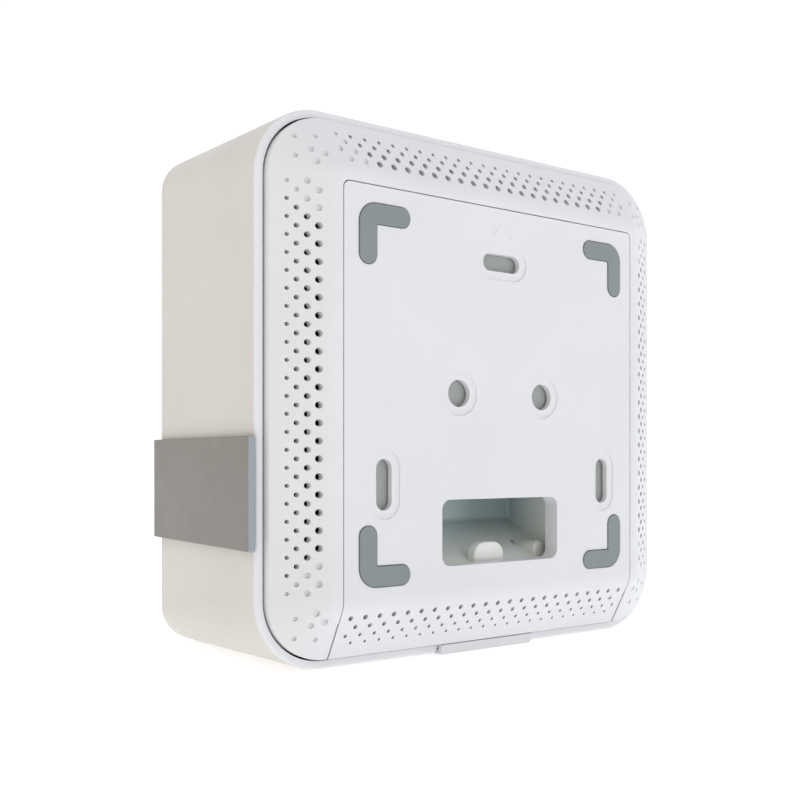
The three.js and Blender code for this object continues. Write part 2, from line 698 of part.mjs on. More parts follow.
function statusLens() {
  const stem = slab(lensOutline(0), LENS_BACK - 1, BAND_FRONT - GAP, 3);
  return join(stem, slab(lensOutline(LENS_FLANGE), LENS_BACK - LENS_FLANGE, LENS_BACK, 3));
}

function ledBoard() {
  const [width, wall, height] = LED_BOARD;
  const [half, middle] = [width / 2, BAND_Z];
  return box([-half, LED_FRONT - wall, middle - height / 2], [half, LED_FRONT, middle + height / 2]);
}

// ---------------------------------------------------------------- board and what it carries

function mainBoard() {
  const sheet = slab(roundedRect(BOARD_HALF, BOARD_HALF, BOARD_CORNER), BOARD_Y, BOARD_FRONT);
  return cut(
    sheet,
    ...posts.map(([x, z]) => rod(x, z, POST_DIAMETER + 2 * FIT, BOARD_Y - 1, BOARD_FRONT + 1, 14)),
    ...standoffs.map(([x, z]) => rod(x, z, BOARD_SCREW_SHANK + 2 * GAP, BOARD_Y - 1, BOARD_FRONT + 1, 12)),
  );
}

const SINK_Z = (SINK_BOTTOM + SINK_TOP) / 2;
const CHIP_BACK = BOARD_Y - GAP - CHIP_WALL;
const THERMAL_BACK = CHIP_BACK - GAP - PAD_WALL;
const SINK_FACE = THERMAL_BACK - GAP;

function plateOnBoard(half, y0, y1, z = SINK_Z) {
  return slab(roundedRect(half, half, 1, 0, z), y0, y1, 2);
}

function heatSink() {
  const root = SINK_FACE - SINK_BASE;
  const base = box([-SINK_HALF, root, SINK_BOTTOM], [SINK_HALF, SINK_FACE, SINK_TOP]);
  const pitch = (2 * SINK_HALF - SINK_FIN) / (SINK_FINS - 1);
  const fins = Array.from({ length: SINK_FINS }, (_, i) => {
    const x = -SINK_HALF + i * pitch;
    return box([x, root - SINK_FIN_HEIGHT, SINK_BOTTOM], [x + SINK_FIN, root + 1, SINK_TOP]);
  });
  const legX = SINK_HALF - SINK_LEG;
  const legZ = (SINK_TOP - SINK_BOTTOM) / 2 - SINK_LEG;
  const legs = corners.map(([sx, sz]) =>
    rod(sx * legX, SINK_Z + sz * legZ, SINK_LEG, SINK_FACE - 1, BOARD_Y - GAP, 10),
  );
  return join(base, ...fins, ...legs);
}

function shieldCan(side) {
  const x = side * SHIELD_X;
  const half = SHIELD_SIZE / 2;
  const front = BOARD_FRONT + GAP + SHIELD_HEIGHT;
  const can = (margin, y0, y1) =>
    slab(roundedRect(half - margin, half - margin, SHIELD_CORNER - margin, x, SHIELD_Z), y0, y1, 2);
  return cut(can(0, BOARD_FRONT + GAP, front), can(SHIELD_WALL, BOARD_FRONT, front - SHIELD_WALL));
}

// A stamped aerial that stands on the front of the board by one edge: a plate with an open slot.
function antenna(turn) {
  const at = BOARD_HALF - ANTENNA_INSET;
  const y0 = BOARD_FRONT + GAP;
  const [long, high] = [ANTENNA_LENGTH / 2, ANTENNA_HEIGHT];
  const plate = box([-long, y0, at - ANTENNA_WALL], [long, y0 + high, at]);
  const [slotLow, slotHigh] = ANTENNA_SLOT;
  const slotStart = -long + ANTENNA_ARM;
  const slot = box([slotStart, y0 + slotLow, at - ANTENNA_WALL - 1], [long + 1, y0 + slotHigh, at + 1]);
  const [footHalf, footDepth] = ANTENNA_FOOT;
  const foot = box([-footHalf, y0, at - footDepth], [footHalf, y0 + ANTENNA_WALL, at]);
  return join(cut(plate, slot), foot).rotate([0, turn, 0]);
}

function screw([x, z], headY, head, headWall, shank, length) {
  const seat = headY + headWall;
  return join(rod(x, z, head, headY, seat, 14), rod(x, z, shank, seat - 0.5, seat + length, 10));
}

const coverScrew = (place) =>
  screw(place, PAN_DEPTH + GAP, SCREW_HEAD, SCREW_HEAD_WALL - GAP, SCREW_SHANK, SCREW_LENGTH);

const boardScrew = (place) =>
  screw(
    place,
    BOARD_Y - GAP - BOARD_SCREW_HEAD_WALL,
    BOARD_SCREW_HEAD,
    BOARD_SCREW_HEAD_WALL,
    BOARD_SCREW_SHANK,
    BOARD_SCREW_LENGTH - 1,
  );

function resetSwitch() {
  return box(
    [RESET_X - SWITCH_HALF, SWITCH_Y, RESET_Z - SWITCH_HALF],
    [RESET_X + SWITCH_HALF, BOARD_Y - GAP, RESET_Z + SWITCH_HALF],
  );
}

// ---------------------------------------------------------------- materials and assembly

const finishes = {
  whiteShell: ["#e9e6e1", 0.42, 0],
  whiteCover: ["#e6e7eb", 0.45, 0],
  greyBand: ["#8f8c85", 0.5, 0],
  greyRubber: ["#8a9596", 0.75, 0],
  bayWhite: ["#c9cdc6", 0.5, 0],
  lens: ["#dfe9ee", 0.15, 0],
  board: ["#1f5a3c", 0.55, 0],
  chip: ["#26282b", 0.5, 0],
  thermal: ["#7d8fa3", 0.8, 0],
  aluminium: ["#b9bcc0", 0.38, 1],
  tin: ["#c9ccce", 0.3, 1],
  copper: ["#c2a35e", 0.35, 1],
  jack: ["#2b2d30", 0.5, 0],
  steel: ["#a9acb0", 0.3, 1],
  button: ["#d9dadb", 0.5, 0],
};

const unit = new THREE.Group();

function add(name, finish, body) {
  const mesh = body.getMesh();
  const geometry = new THREE.BufferGeometry();
  geometry.setAttribute("position", new THREE.BufferAttribute(new Float32Array(mesh.vertProperties), 3));
  geometry.setIndex(new THREE.BufferAttribute(new Uint32Array(mesh.triVerts), 1));
  geometry.computeVertexNormals();
  const [color, roughness, metalness] = finishes[finish];
  const part = new THREE.Mesh(geometry, new THREE.MeshStandardMaterial({ color, roughness, metalness }));
  part.name = name;
  unit.add(part);
}

add("mounting_plate", "whiteCover", mountingPlate());
corners.forEach(([sx, sz], i) => {
  add(`foot_pad_${i + 1}`, "greyRubber", padSolid(sx, sz, 0, -PAD_PROUD, PAD_SEAT - GAP));
});
add("release_tab", "whiteCover", releaseTab());
add("main_housing", "whiteShell", mainHousing());
add("rear_cover", "whiteCover", rearCover());
add("accent_band", "greyBand", accentBand());
add("status_lens", "lens", statusLens());
add("led_board", "board", ledBoard());
add("port_bay", "bayWhite", portBay());
LAN_PLACES.forEach((x, i) => add(`lan_jack_${i + 1}`, "jack", lanJack(x)));
add("power_jack", "jack", powerJack());
add("reset_button", "button", resetButton());
add("reset_switch", "chip", resetSwitch());
add("main_board", "board", mainBoard());
add("processor", "chip", plateOnBoard(CHIP_SIZE / 2, CHIP_BACK, BOARD_Y - GAP));
add("thermal_pad", "thermal", plateOnBoard(CHIP_SIZE / 2 - 1, THERMAL_BACK, CHIP_BACK - GAP));
add("heat_sink", "aluminium", heatSink());
[-1, 1].forEach((side, i) => add(`shield_can_${i + 1}`, "tin", shieldCan(side)));
[0, 90, 180, 270].forEach((turn, i) => add(`antenna_${i + 1}`, "copper", antenna(turn)));
posts.forEach((place, i) => add(`cover_screw_${i + 1}`, "steel", coverScrew(place)));
standoffs.forEach((place, i) => add(`board_screw_${i + 1}`, "steel", boardScrew(place)));

export default unit;
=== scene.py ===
import math

import bmesh
import bpy
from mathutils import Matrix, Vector


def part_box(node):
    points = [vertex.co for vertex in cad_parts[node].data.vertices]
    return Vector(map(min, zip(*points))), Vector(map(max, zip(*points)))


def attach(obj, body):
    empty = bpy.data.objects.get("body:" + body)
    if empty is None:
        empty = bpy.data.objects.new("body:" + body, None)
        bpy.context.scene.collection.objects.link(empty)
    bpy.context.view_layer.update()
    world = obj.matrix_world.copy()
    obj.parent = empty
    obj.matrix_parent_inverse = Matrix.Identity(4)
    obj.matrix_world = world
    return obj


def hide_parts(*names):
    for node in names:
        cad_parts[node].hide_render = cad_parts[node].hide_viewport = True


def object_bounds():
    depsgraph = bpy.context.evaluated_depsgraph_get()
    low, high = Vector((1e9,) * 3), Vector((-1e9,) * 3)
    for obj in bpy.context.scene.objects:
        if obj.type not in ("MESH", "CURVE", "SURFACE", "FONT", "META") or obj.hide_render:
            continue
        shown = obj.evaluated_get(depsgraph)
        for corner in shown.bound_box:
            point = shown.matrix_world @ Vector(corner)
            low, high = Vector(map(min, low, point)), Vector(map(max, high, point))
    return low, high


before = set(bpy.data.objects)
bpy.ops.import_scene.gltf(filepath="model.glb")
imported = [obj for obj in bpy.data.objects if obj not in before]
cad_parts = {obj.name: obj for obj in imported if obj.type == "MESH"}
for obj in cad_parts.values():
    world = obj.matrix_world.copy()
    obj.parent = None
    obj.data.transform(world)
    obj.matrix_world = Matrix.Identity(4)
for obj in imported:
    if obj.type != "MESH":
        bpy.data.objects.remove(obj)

bl_info = {
    "name": "Wall access point",
    "version": (1, 0, 0),
    "blender": (4, 5, 0),
    "location": "3D View > Sidebar > Access point",
    "description": "Builds the fine casing, plate, pads and finishes of a wall or ceiling access point",
    "category": "Object",
}

CAD_BOX = [list(corner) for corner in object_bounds()]
MM = 0.001

# Boxes of the CAD nodes that the fine pieces stand for, in metres. The wall is Y = 0 and +Z is up.
COVER_LOW, COVER_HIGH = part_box("rear_cover")
PLATE_LOW, PLATE_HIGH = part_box("mounting_plate")
HOUSING_LOW, HOUSING_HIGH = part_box("main_housing")
BAND_LOW, BAND_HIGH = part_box("accent_band")
TAB_LOW, TAB_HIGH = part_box("release_tab")
BAY_LOW, BAY_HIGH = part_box("port_bay")
LENS_LOW, LENS_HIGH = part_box("status_lens")
PAD_LOW, PAD_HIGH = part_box("foot_pad_2")
LOWER_PAD_LOW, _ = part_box("foot_pad_4")
RESET_LOW, RESET_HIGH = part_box("reset_button")
JACKS = [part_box(name) for name in ("lan_jack_1", "lan_jack_2", "power_jack")]
COVER_SCREWS = [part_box(f"cover_screw_{i + 1}") for i in range(4)]
BOARD_SCREWS = [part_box(f"board_screw_{i + 1}") for i in range(4)]
BOARD_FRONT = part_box("main_board")[1].y

COVER_HALF = COVER_HIGH.x
BODY_HALF = HOUSING_HIGH.x
PLATE_HALF = PLATE_HIGH.x
LOWER_PAD_DROP = PAD_HIGH.z + LOWER_PAD_LOW.z

# How far a cutter or a welded piece reaches past what it meets, how far one sinks into another, the play
# round the hooks, the collar and the tab, and the travel of the hooks in their keyholes.
PAST = 1 * MM
SUNK = 0.5 * MM
FIT = 0.5 * MM
LIFT = 8 * MM

# Sizes of the hidden fittings.
POST = 9 * MM
STANDOFF = 7 * MM
BOSS_LENGTH = 3 * MM
HEAD_SEAT = 1.8 * MM
COVER_BORE = 3.6 * MM
BOARD_BORE = 3.2 * MM
STUD = 4 * MM
STUD_BORE = 4.6 * MM
STUD_PAST = 0.7 * MM
STUD_BORE_PAST = 2 * MM
STUD_INSET = 18 * MM
FRONT_STUD_INSET = 14 * MM
SMALL_SIDES = 20
HOOK_X = 36 * MM
HOOK_ROWS = (34 * MM, -8 * MM)
HOOK_STEM = 2 * MM
HOOK_HEAD = 4 * MM
HOOK_RISE = 2.5 * MM
HOOK_NECK = 5.5 * MM
PAD_WIDTH = 6 * MM
PAD_CORNER = 5.9 * MM
PAD_SEAT = 1 * MM
TAB_WALL = 1.7 * MM
TAB_BARB = 0.9 * MM
BARB_LENGTH = 2.5 * MM
LENS_HALF_LENGTH = 9 * MM
LENS_HALF_HEIGHT = 1 * MM
LENS_FLANGE = 2 * MM
LENS_CUT = 25 * MM
VENT_REACH = 5 * MM
BAY_BOSS_LENGTH = 16 * MM
GUIDE = 6.2 * MM
GUIDE_START = 9 * MM
GUIDE_END = 5 * MM
GUIDE_BORE = 3.8 * MM
GUIDE_BORE_PAST = 20 * MM


def size(name, description, default):
    """A length property, in metres."""
    return bpy.props.FloatProperty(
        name=name, description=description, default=default, min=0.0, precision=5, unit="LENGTH"
    )


def colour(name, description, default):
    """A linear RGB property."""
    return bpy.props.FloatVectorProperty(
        name=name, description=description, default=default, size=3, min=0.0, max=1.0, subtype="COLOR"
    )


def number(name, description, default, **settings):
    """A plain number, or a place that may be negative."""
    return bpy.props.FloatProperty(name=name, description=description, default=default, **settings)


def amount(name, description, default):
    """A number from 0 to 1."""
    return bpy.props.FloatProperty(
        name=name, description=description, default=default, min=0.0, max=1.0, subtype="FACTOR"
    )


class ShellSizes(bpy.types.PropertyGroup):
    """Sizes of the housing, the rear cover and the band."""

    corner: size("Housing corner", "Radius of the housing's four long corners", 22 * MM)
    front_corner: size("Front corner", "Radius of the four long corners at the front", 12 * MM)
    fillet: size("Front fillet", "Radius round the housing's front face", 5 * MM)
    wall: size("Housing wall", "Thickness of the housing's wall", 2.5 * MM)
    rim: size("Rim depth", "Distance of the housing's rear rim from the wall", 11.2 * MM)
    rim_round: size("Rim round", "Rounding of the rim's outer edge", 1.3 * MM)
    run: size("Bevel run", "Width of the cover's bevel, seen from behind", 16.4 * MM)
    drop: size("Bevel drop", "Depth of the cover's bevel", 9 * MM)
    bend: size("Bend softness", "Offset of the rounding where the bevel starts", 2.3 * MM)
    cover_wall: size("Cover wall", "Thickness of the rear cover", 2.2 * MM)
    pan: size("Pan depth", "Depth of the recess that the plate lies in", 3 * MM)
    seam: size("Seam", "Gap round the plate", 0.35 * MM)
    edge: size("Edge break", "Rounding of moulded edges", 0.3 * MM)
    band_wall: size("Band wall", "Thickness of the band", 2.2 * MM)
    tab_recess: size("Tab recess", "Depth of the tab's seat in the housing's lower wall", 1.6 * MM)
    gap: size("Gap", "Clearance between pieces that touch", 0.3 * MM)


class VentSizes(bpy.types.PropertyGroup):
    """Sizes of the four rows of round vents on each side of the bevel."""

    pitch: size("Pitch", "Spacing of the vents along a row", 5.13 * MM)
    dimple: size("Dimple depth", "Depth of the blind vents near the corners", 0.75 * MM)
    lower: amount("Lower vents", "Size of the plate's vents as a share of the cover's", 0.78)
    row_1: size("Row 1 inset", "Distance of the outer row from the cover's edge", 4.7 * MM)
    row_2: size("Row 2 inset", "Distance of the second row from the cover's edge", 7.1 * MM)
    row_3: size("Row 3 inset", "Distance of the third row from the cover's edge", 9.8 * MM)
    row_4: size("Row 4 inset", "Distance of the inner row from the cover's edge", 12.7 * MM)
    hole_1: size("Row 1 hole", "Diameter of the outer row's vents", 1.25 * MM)
    hole_2: size("Row 2 hole", "Diameter of the second row's vents", 1.5 * MM)
    hole_3: size("Row 3 hole", "Diameter of the third row's vents", 1.85 * MM)
    hole_4: size("Row 4 hole", "Diameter of the inner row's vents", 2.1 * MM)


class PlateSizes(bpy.types.PropertyGroup):
    """Sizes of the mounting plate."""

    wall: size("Plate wall", "Thickness of the plate", 2.4 * MM)
    corner: size("Plate corner", "Radius of the plate's upper corners", 2 * MM)
    slot_length: size("Slot length", "Length of the screw slots", 15.4 * MM)
    slot_width: size("Slot width", "Width of the screw slots", 5.6 * MM)
    top_slot: size("Top slot inset", "Distance of the top slot from the plate's top edge", 17.4 * MM)
    side_slot: size("Side slot inset", "Distance of the side slots from the plate's side", 14.1 * MM)
    side_slot_z: number(
        "Side slot height", "Height of the side slots' middle", -28.2 * MM, precision=5, unit="LENGTH"
    )
    hole: size("Hole diameter", "Diameter of the two round holes", 8.6 * MM)
    hole_spacing: size("Hole spacing", "Distance between the two round holes", 35 * MM)
    recess_margin: size("Recess margin", "Width of the recess round each slot", 2.8 * MM)
    recess_depth: size("Recess depth", "Depth of the recess round each slot", 0.4 * MM)
    opening_half: size("Opening half width", "Half the width of the cable opening", 24.4 * MM)
    opening_height: size("Opening height", "Height of the cable opening", 20.7 * MM)
    opening_rise: size("Opening rise", "Height of the opening above the bend", 9.6 * MM)
    opening_corner: size("Opening corner", "Corner radius of the cable opening", 3.2 * MM)
    collar_wall: size("Collar wall", "Thickness of the collar round the opening", 1.2 * MM)
    collar_depth: size("Collar depth", "Depth that the collar reaches", 5.8 * MM)
    mark_top: size("Arrow height", "Height of the arrow mark's tip", 54.8 * MM)
    mark_arm: size("Arrow arm", "Sideways reach of each arm of the arrow", 4 * MM)


class BaySizes(bpy.types.PropertyGroup):
    """Sizes of the liner behind the cable opening."""

    wall: size("Liner wall", "Thickness of the liner", 1.8 * MM)
    ramp_front: size("Ramp start", "Depth at which the ramp starts", 6.8 * MM)
    ramp_drop: size("Ramp drop", "Height of the ramp's foot under the opening", 1.6 * MM)
    ramp_rise: size("Ramp rise", "Height that the ramp gains", 13.5 * MM)
    tongue_width: size("Tongue width", "Width of the cable tongue", 12.6 * MM)
    tongue_height: size("Tongue height", "Height of the cable tongue", 7.8 * MM)
    tongue_wall: size("Tongue depth", "Depth of the cable tongue", 3.6 * MM)
    tongue_x: size("Tongue place", "Sideways place of the tongue", 0.3 * MM)
    boss_x: size("Boss place", "Sideways place of the round boss", 25.5 * MM)
    boss: size("Boss diameter", "Diameter of the round boss", 6.1 * MM)
    boss_rise: size("Boss rise", "Height of the boss above the opening's lower edge", 2.1 * MM)
    boss_sunk: size("Boss depth", "Distance of the boss behind the ramp's start", 2.7 * MM)
    pinhole: size("Pinhole", "Diameter of the reset pinhole", 2 * MM)
    round: size("Inner rounding", "Rounding of the liner's inner corners", 1 * MM)


class Colours(bpy.types.PropertyGroup):
    """Base colours and finishes."""

    # Painted shade and warm light: the housing's white is darker and warmer than the cover's and the plate's,
    # standing in for how its shaded left side is lit.
    shell: colour("Housing", "Warm white of the housing", (0.68, 0.655, 0.62))
    cover: colour("Cover", "Cool white of the rear cover", (0.755, 0.76, 0.775))
    plate: colour("Plate", "Cool white of the mounting plate", (0.755, 0.755, 0.78))
    band: colour("Band", "Grey of the band", (0.225, 0.218, 0.198))
    rubber: colour("Rubber", "Grey of the corner pads", (0.235, 0.265, 0.27))
    bay: colour("Port bay", "Grey white of the liner", (0.90, 0.92, 0.88))
    lens: colour("Light pipe", "Milky light pipe", (0.80, 0.86, 0.90))
    board: colour("Board", "Solder mask green", (0.015, 0.10, 0.045))
    gloss: amount("Plastic roughness", "Roughness of the white plastics", 0.42)


class StageLook(bpy.types.PropertyGroup):
    """The camera and the light."""

    lens: number("Focal length", "Focal length in millimetres", 44.87)
    turn: number("Camera turn", "Heading of the camera", math.radians(-35.1), subtype="ANGLE")
    place: bpy.props.FloatVectorProperty(
        name="Camera place", description="Where the camera stands", default=(-0.2122, -0.2445, -0.0206),
        size=3, subtype="TRANSLATION", unit="LENGTH",
    )
    shift: number("Camera shift", "Upward shift of the view", 0.0739)
    floor_glow: amount("Floor glow", "Light from under the translucent floor", 0.45)
    sky: number("Sky strength", "Brightness of the white surroundings", 1.12, min=0.0)


# ---------------------------------------------------------------- modelling helpers


def clear_selection():
    """Object mode with nothing selected."""
    if bpy.context.object and bpy.context.object.mode != "OBJECT":
        bpy.ops.object.mode_set(mode="OBJECT")
    bpy.ops.object.select_all(action="DESELECT")


def make_active(piece):
    """Only this piece is selected and active."""
    clear_selection()
    piece.select_set(True)
    bpy.context.view_layer.objects.active = piece


def settle(name):
    """Names the new primitive and puts its place into its mesh."""
    piece = bpy.context.object
    piece.name = name
    piece.data.name = name
    bpy.ops.object.transform_apply(location=True, rotation=True, scale=True)
    return piece


def block(name, low, high):
    """A cube primitive that fills the box from low to high."""
    clear_selection()
    low, high = Vector(low), Vector(high)
    bpy.ops.mesh.primitive_cube_add(size=1, location=(low + high) / 2, scale=high - low)
    return settle(name)


def rod(name, x, z, diameter, y0, y1, sides=32):
    """A cylinder primitive whose axis is parallel to Y."""
    clear_selection()
    bpy.ops.mesh.primitive_cylinder_add(
        vertices=sides, radius=diameter / 2, depth=y1 - y0, location=(x, (y0 + y1) / 2, z),
        rotation=(math.pi / 2, 0, 0),
    )
    return settle(name)


def screw_rod(name, screw, diameter, y0, y1):
    """A cylinder on the axis of a screw, given by its box."""
    middle = (screw[0] + screw[1]) / 2
    return rod(name, middle.x, middle.z, diameter, y0, y1)


class Shaping:
    """Edit mode on one piece, starting with nothing selected."""

    def __init__(self, piece):
        self.piece = piece

    def __enter__(self):
        make_active(self.piece)
        bpy.ops.object.mode_set(mode="EDIT")
        bpy.ops.mesh.select_all(action="DESELECT")

    def __exit__(self, *error):
        bpy.ops.object.mode_set(mode="OBJECT")


def pick(kind, test):
    """Selects the verts, edges or faces of the piece in edit mode that pass a test."""
    bpy.ops.mesh.select_mode(type=kind[:-1].upper())
    bpy.ops.mesh.select_all(action="DESELECT")
    mesh = bpy.context.object.data
    shape = bmesh.from_edit_mesh(mesh)
    shape.normal_update()
    for element in getattr(shape, kind):
        if test(element):
            element.select_set(True)
    bmesh.update_edit_mesh(mesh)


def pick_faces(test):
    """Selects faces by their middle and normal."""
    pick("faces", lambda face: test(face.calc_center_median(), face.normal))


def pick_edges(test):
    """Selects edges by their two ends."""
    pick("edges", lambda edge: test(edge.verts[0].co, edge.verts[1].co))


def near(a, b, reach=0.02 * MM):
    """Two places that are the same apart from rounding."""
    return abs(a - b) < reach


def along(axis):
    """A test for edges parallel to an axis."""

    def test(a, b):
        step = b - a
        return abs(step[axis]) > 0.999 * step.length

    return test


def side_edges(level):
    """A test for edges parallel to Y at one height."""
    return lambda a, b: along(1)(a, b) and near(a.z, level)


def corner_edge(x, z):
    """A test for the edge parallel to Y at one place."""
    return lambda a, b: along(1)(a, b) and near(a.x, x) and near(a.z, z)


def at_depth(depth):
    """A test for edges whose two ends lie at one depth behind the wall."""
    return lambda a, b: near(a.y, depth) and near(b.y, depth)


def on_outline(depth, half, corner):
    """A test for edges along a rounded square outline at a depth."""
    reach = bpy.context.scene.shell_sizes.gap

    def lies_on(point):
        return near(point.y, depth) and outline_inset(point, half, corner) < reach

    return lambda a, b: lies_on(a) and lies_on(b)


def outline_inset(point, half, corner):
    """How far a point lies inside a rounded square outline."""
    centre = half - corner
    x, z = max(abs(point.x) - centre, 0), max(abs(point.z) - centre, 0)
    if x and z:
        return corner - math.hypot(x, z)
    return half - max(abs(point.x), abs(point.z))


def bevel(offset, segments):
    """Bevels the selected edges."""
    bpy.ops.mesh.bevel(
        offset_type="OFFSET", offset=offset, segments=segments, affect="EDGES", clamp_overlap=False
    )


def round_edges(test, offset, segments):
    """Selects edges and rounds them."""
    pick_edges(test)
    bevel(offset, segments)


def extrude(move):
    """Extrudes the selected faces by a move."""
    bpy.ops.mesh.extrude_region_move(TRANSFORM_OT_translate={"value": tuple(move)})


def modify(piece, kind, **settings):
    """Adds a modifier with its settings and applies it."""
    make_active(piece)
    bpy.ops.object.modifier_add(type=kind)
    modifier = piece.modifiers[-1]
    for name, value in settings.items():
        setattr(modifier, name, value)
    bpy.ops.object.modifier_apply(modifier=modifier.name)


def gather(name, pieces):
    """Joins pieces that don't touch into one object."""
    make_active(pieces[0])
    for piece in pieces[1:]:
        piece.select_set(True)
    if len(pieces) > 1:
        bpy.ops.object.join()
    pieces[0].name = name
    return pieces[0]


def combine(piece, tools, operation):
    """Cuts tools from a piece, or adds them to it, and removes them."""
    tool = gather("tool", tools)
    modify(piece, "BOOLEAN", operation=operation, object=tool, solver="MANIFOLD")
    bpy.data.objects.remove(tool, do_unlink=True)


def carve(piece, *tools):
    """Cuts tools out of a piece."""
    combine(piece, list(tools), "DIFFERENCE")


def weld(piece, *tools):
    """Makes one solid of a piece and what touches it."""
    combine(piece, list(tools), "UNION")


def break_edges(piece, width, segments=2, angle=50):
    """Rounds every edge sharper than an angle."""
    modify(
        piece, "BEVEL", width=width, segments=segments, limit_method="ANGLE",
        angle_limit=math.radians(angle), use_clamp_overlap=True, harden_normals=False,
    )


def copy_of(piece, name):
    """A copy with its own mesh."""
    twin = piece.copy()
    twin.data = piece.data.copy()
    twin.name = name
    bpy.context.scene.collection.objects.link(twin)
    return twin


def turned(piece, name, turn, lift=0):
    """A copy turned about the Y axis and lifted, with both put into its mesh."""
    twin = copy_of(piece, name)
    make_active(twin)
    twin.rotation_euler = (0, turn, 0)
    twin.location = (0, 0, lift)
    bpy.ops.object.transform_apply(location=True, rotation=True, scale=True)
    return twin


def finish_piece(piece, material, body, node, angle=30):
    """Smooth shading, material, and the ties to the CAD frame."""
    make_active(piece)
    bpy.ops.object.mode_set(mode="EDIT")
    bpy.ops.mesh.select_all(action="SELECT")
    bpy.ops.mesh.remove_doubles(threshold=0.002 * MM)
    bpy.ops.object.mode_set(mode="OBJECT")
    bpy.ops.object.shade_smooth_by_angle(angle=math.radians(angle))
    modify(piece, "WEIGHTED_NORMAL", keep_sharp=True, weight=60)
    piece.data.materials.clear()
    piece.data.materials.append(material)
    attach(piece, body)
    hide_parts(node)
    return piece


# ---------------------------------------------------------------- shared shapes


def rounded_block(name, half, corner, y0, y1, segments=24, middle=(0, 0), half_z=None):
    """A block whose four edges parallel to Y are rounded."""
    half_z = half if half_z is None else half_z
    x, z = middle
    piece = block(name, (x - half, y0, z - half_z), (x + half, y1, z + half_z))
    with Shaping(piece):
        round_edges(along(1), corner, segments)
    return piece


def stadium(name, x, z, half_x, half_z, margin, y0, y1):
    """A slot with full round ends, or a round hole."""
    half_x, half_z = half_x + margin, half_z + margin
    radius = min(half_x, half_z) * 0.999
    return rounded_block(name, half_x, radius, y0, y1, 12, (x, z), half_z)


def folded_block(name, half, y0, y1, top, reach):
    """A layer parallel to the cover's face: flat, then down the lower bevel by a share of its run."""
    shell = bpy.context.scene.shell_sizes
    flat = COVER_HALF - shell.run
    piece = block(name, (-half, y0, -flat), (half, y1, top))
    with Shaping(piece):
        pick_faces(lambda middle, normal: normal.z < -0.9)
        extrude((0, shell.drop * reach, -shell.run * reach))
    return piece


def soften_fold(piece, depth, offset, segments=6):
    """Rounds the fold of a layer at one of its two surfaces."""
    flat = COVER_HALF - bpy.context.scene.shell_sizes.run
    with Shaping(piece):
        round_edges(
            lambda a, b: along(0)(a, b) and near(a.z, -flat) and near(a.y, depth) and near(b.y, depth),
            offset, segments,
        )


def bevel_depth(distance):
    """Depth of the bevelled face at a distance from the cover's outer edge."""
    shell = bpy.context.scene.shell_sizes
    return shell.drop * (1 - distance / shell.run)


# ---------------------------------------------------------------- vents


# Vents in the odd and the even rows, on the cover's three sides and on the plate.
SIDE_COUNTS = (24, 23)
LOWER_COUNTS = (22, 23)
VENT_SIDES = 14


def vent_rows():
    """Inset, diameter and number of blind vents at each end, from the outer row to the inner one."""
    vents = bpy.context.scene.vent_sizes
    return [
        (vents.row_1, vents.hole_1, 1),
        (vents.row_2, vents.hole_2, 1),
        (vents.row_3, vents.hole_3, 2),
        (vents.row_4, vents.hole_4, 2),
    ]


def vent_row(inset, diameter, first, count, y1):
    """Rods of one row beside the top edge, the first at a place along X."""
    row = rod("vents", first, COVER_HALF - inset, diameter, -PAST, y1, VENT_SIDES)
    if count > 1:
        pitch = bpy.context.scene.vent_sizes.pitch
        modify(
            row, "ARRAY", count=count, use_relative_offset=False, use_constant_offset=True,
            constant_offset_displace=(pitch, 0, 0),
        )
    return row


def side_vents():
    """Cutters of the cover's through vents and of its blind ones, beside the top edge."""
    vents = bpy.context.scene.vent_sizes
    through, blind = [], []
    for i, (inset, diameter, closed) in enumerate(vent_rows()):
        count = SIDE_COUNTS[i % 2]
        start = -(count - 1) / 2 * vents.pitch
        face = bevel_depth(inset)
        shallow = face + vents.dimple
        first = start + closed * vents.pitch
        through.append(vent_row(inset, diameter, first, count - 2 * closed, face + VENT_REACH))
        blind.append(vent_row(inset, diameter, start, closed, shallow))
        blind.append(vent_row(inset, diameter, -start - (closed - 1) * vents.pitch, closed, shallow))
    return through, blind


def plate_vents():
    """Cutters of the plate's vents, beside the top edge; all of them go through."""
    vents = bpy.context.scene.vent_sizes
    rows = []
    for i, (inset, diameter, _) in enumerate(vent_rows()):
        count = LOWER_COUNTS[i % 2]
        start = -(count - 1) / 2 * vents.pitch
        rows.append(vent_row(inset, diameter * vents.lower, start, count, bevel_depth(inset) + VENT_REACH))
    return rows


def corner_dimples():
    """Cutters of the six scattered dimples at the upper right corner."""
    shell = bpy.context.scene.shell_sizes
    vents = bpy.context.scene.vent_sizes
    centre = BODY_HALF - shell.corner
    inner = shell.corner - (BODY_HALF - COVER_HALF) - shell.run
    scattered = [
        (16 * MM, 45, vents.hole_2),
        (13 * MM, 24, vents.hole_2),
        (13 * MM, 66, vents.hole_2),
        (10.6 * MM, 45, vents.hole_3),
        (7.6 * MM, 30, vents.hole_4),
        (7.6 * MM, 60, vents.hole_4),
    ]
    dimples = []
    for radius, angle, diameter in scattered:
        turn = math.radians(angle)
        x, z = centre + radius * math.cos(turn), centre + radius * math.sin(turn)
        depth = shell.drop * (radius - inner) / shell.run + vents.dimple * 0.8
        dimples.append(rod("dimple", x, z, diameter, -PAST, depth, VENT_SIDES))
    return dimples


# ---------------------------------------------------------------- rear cover


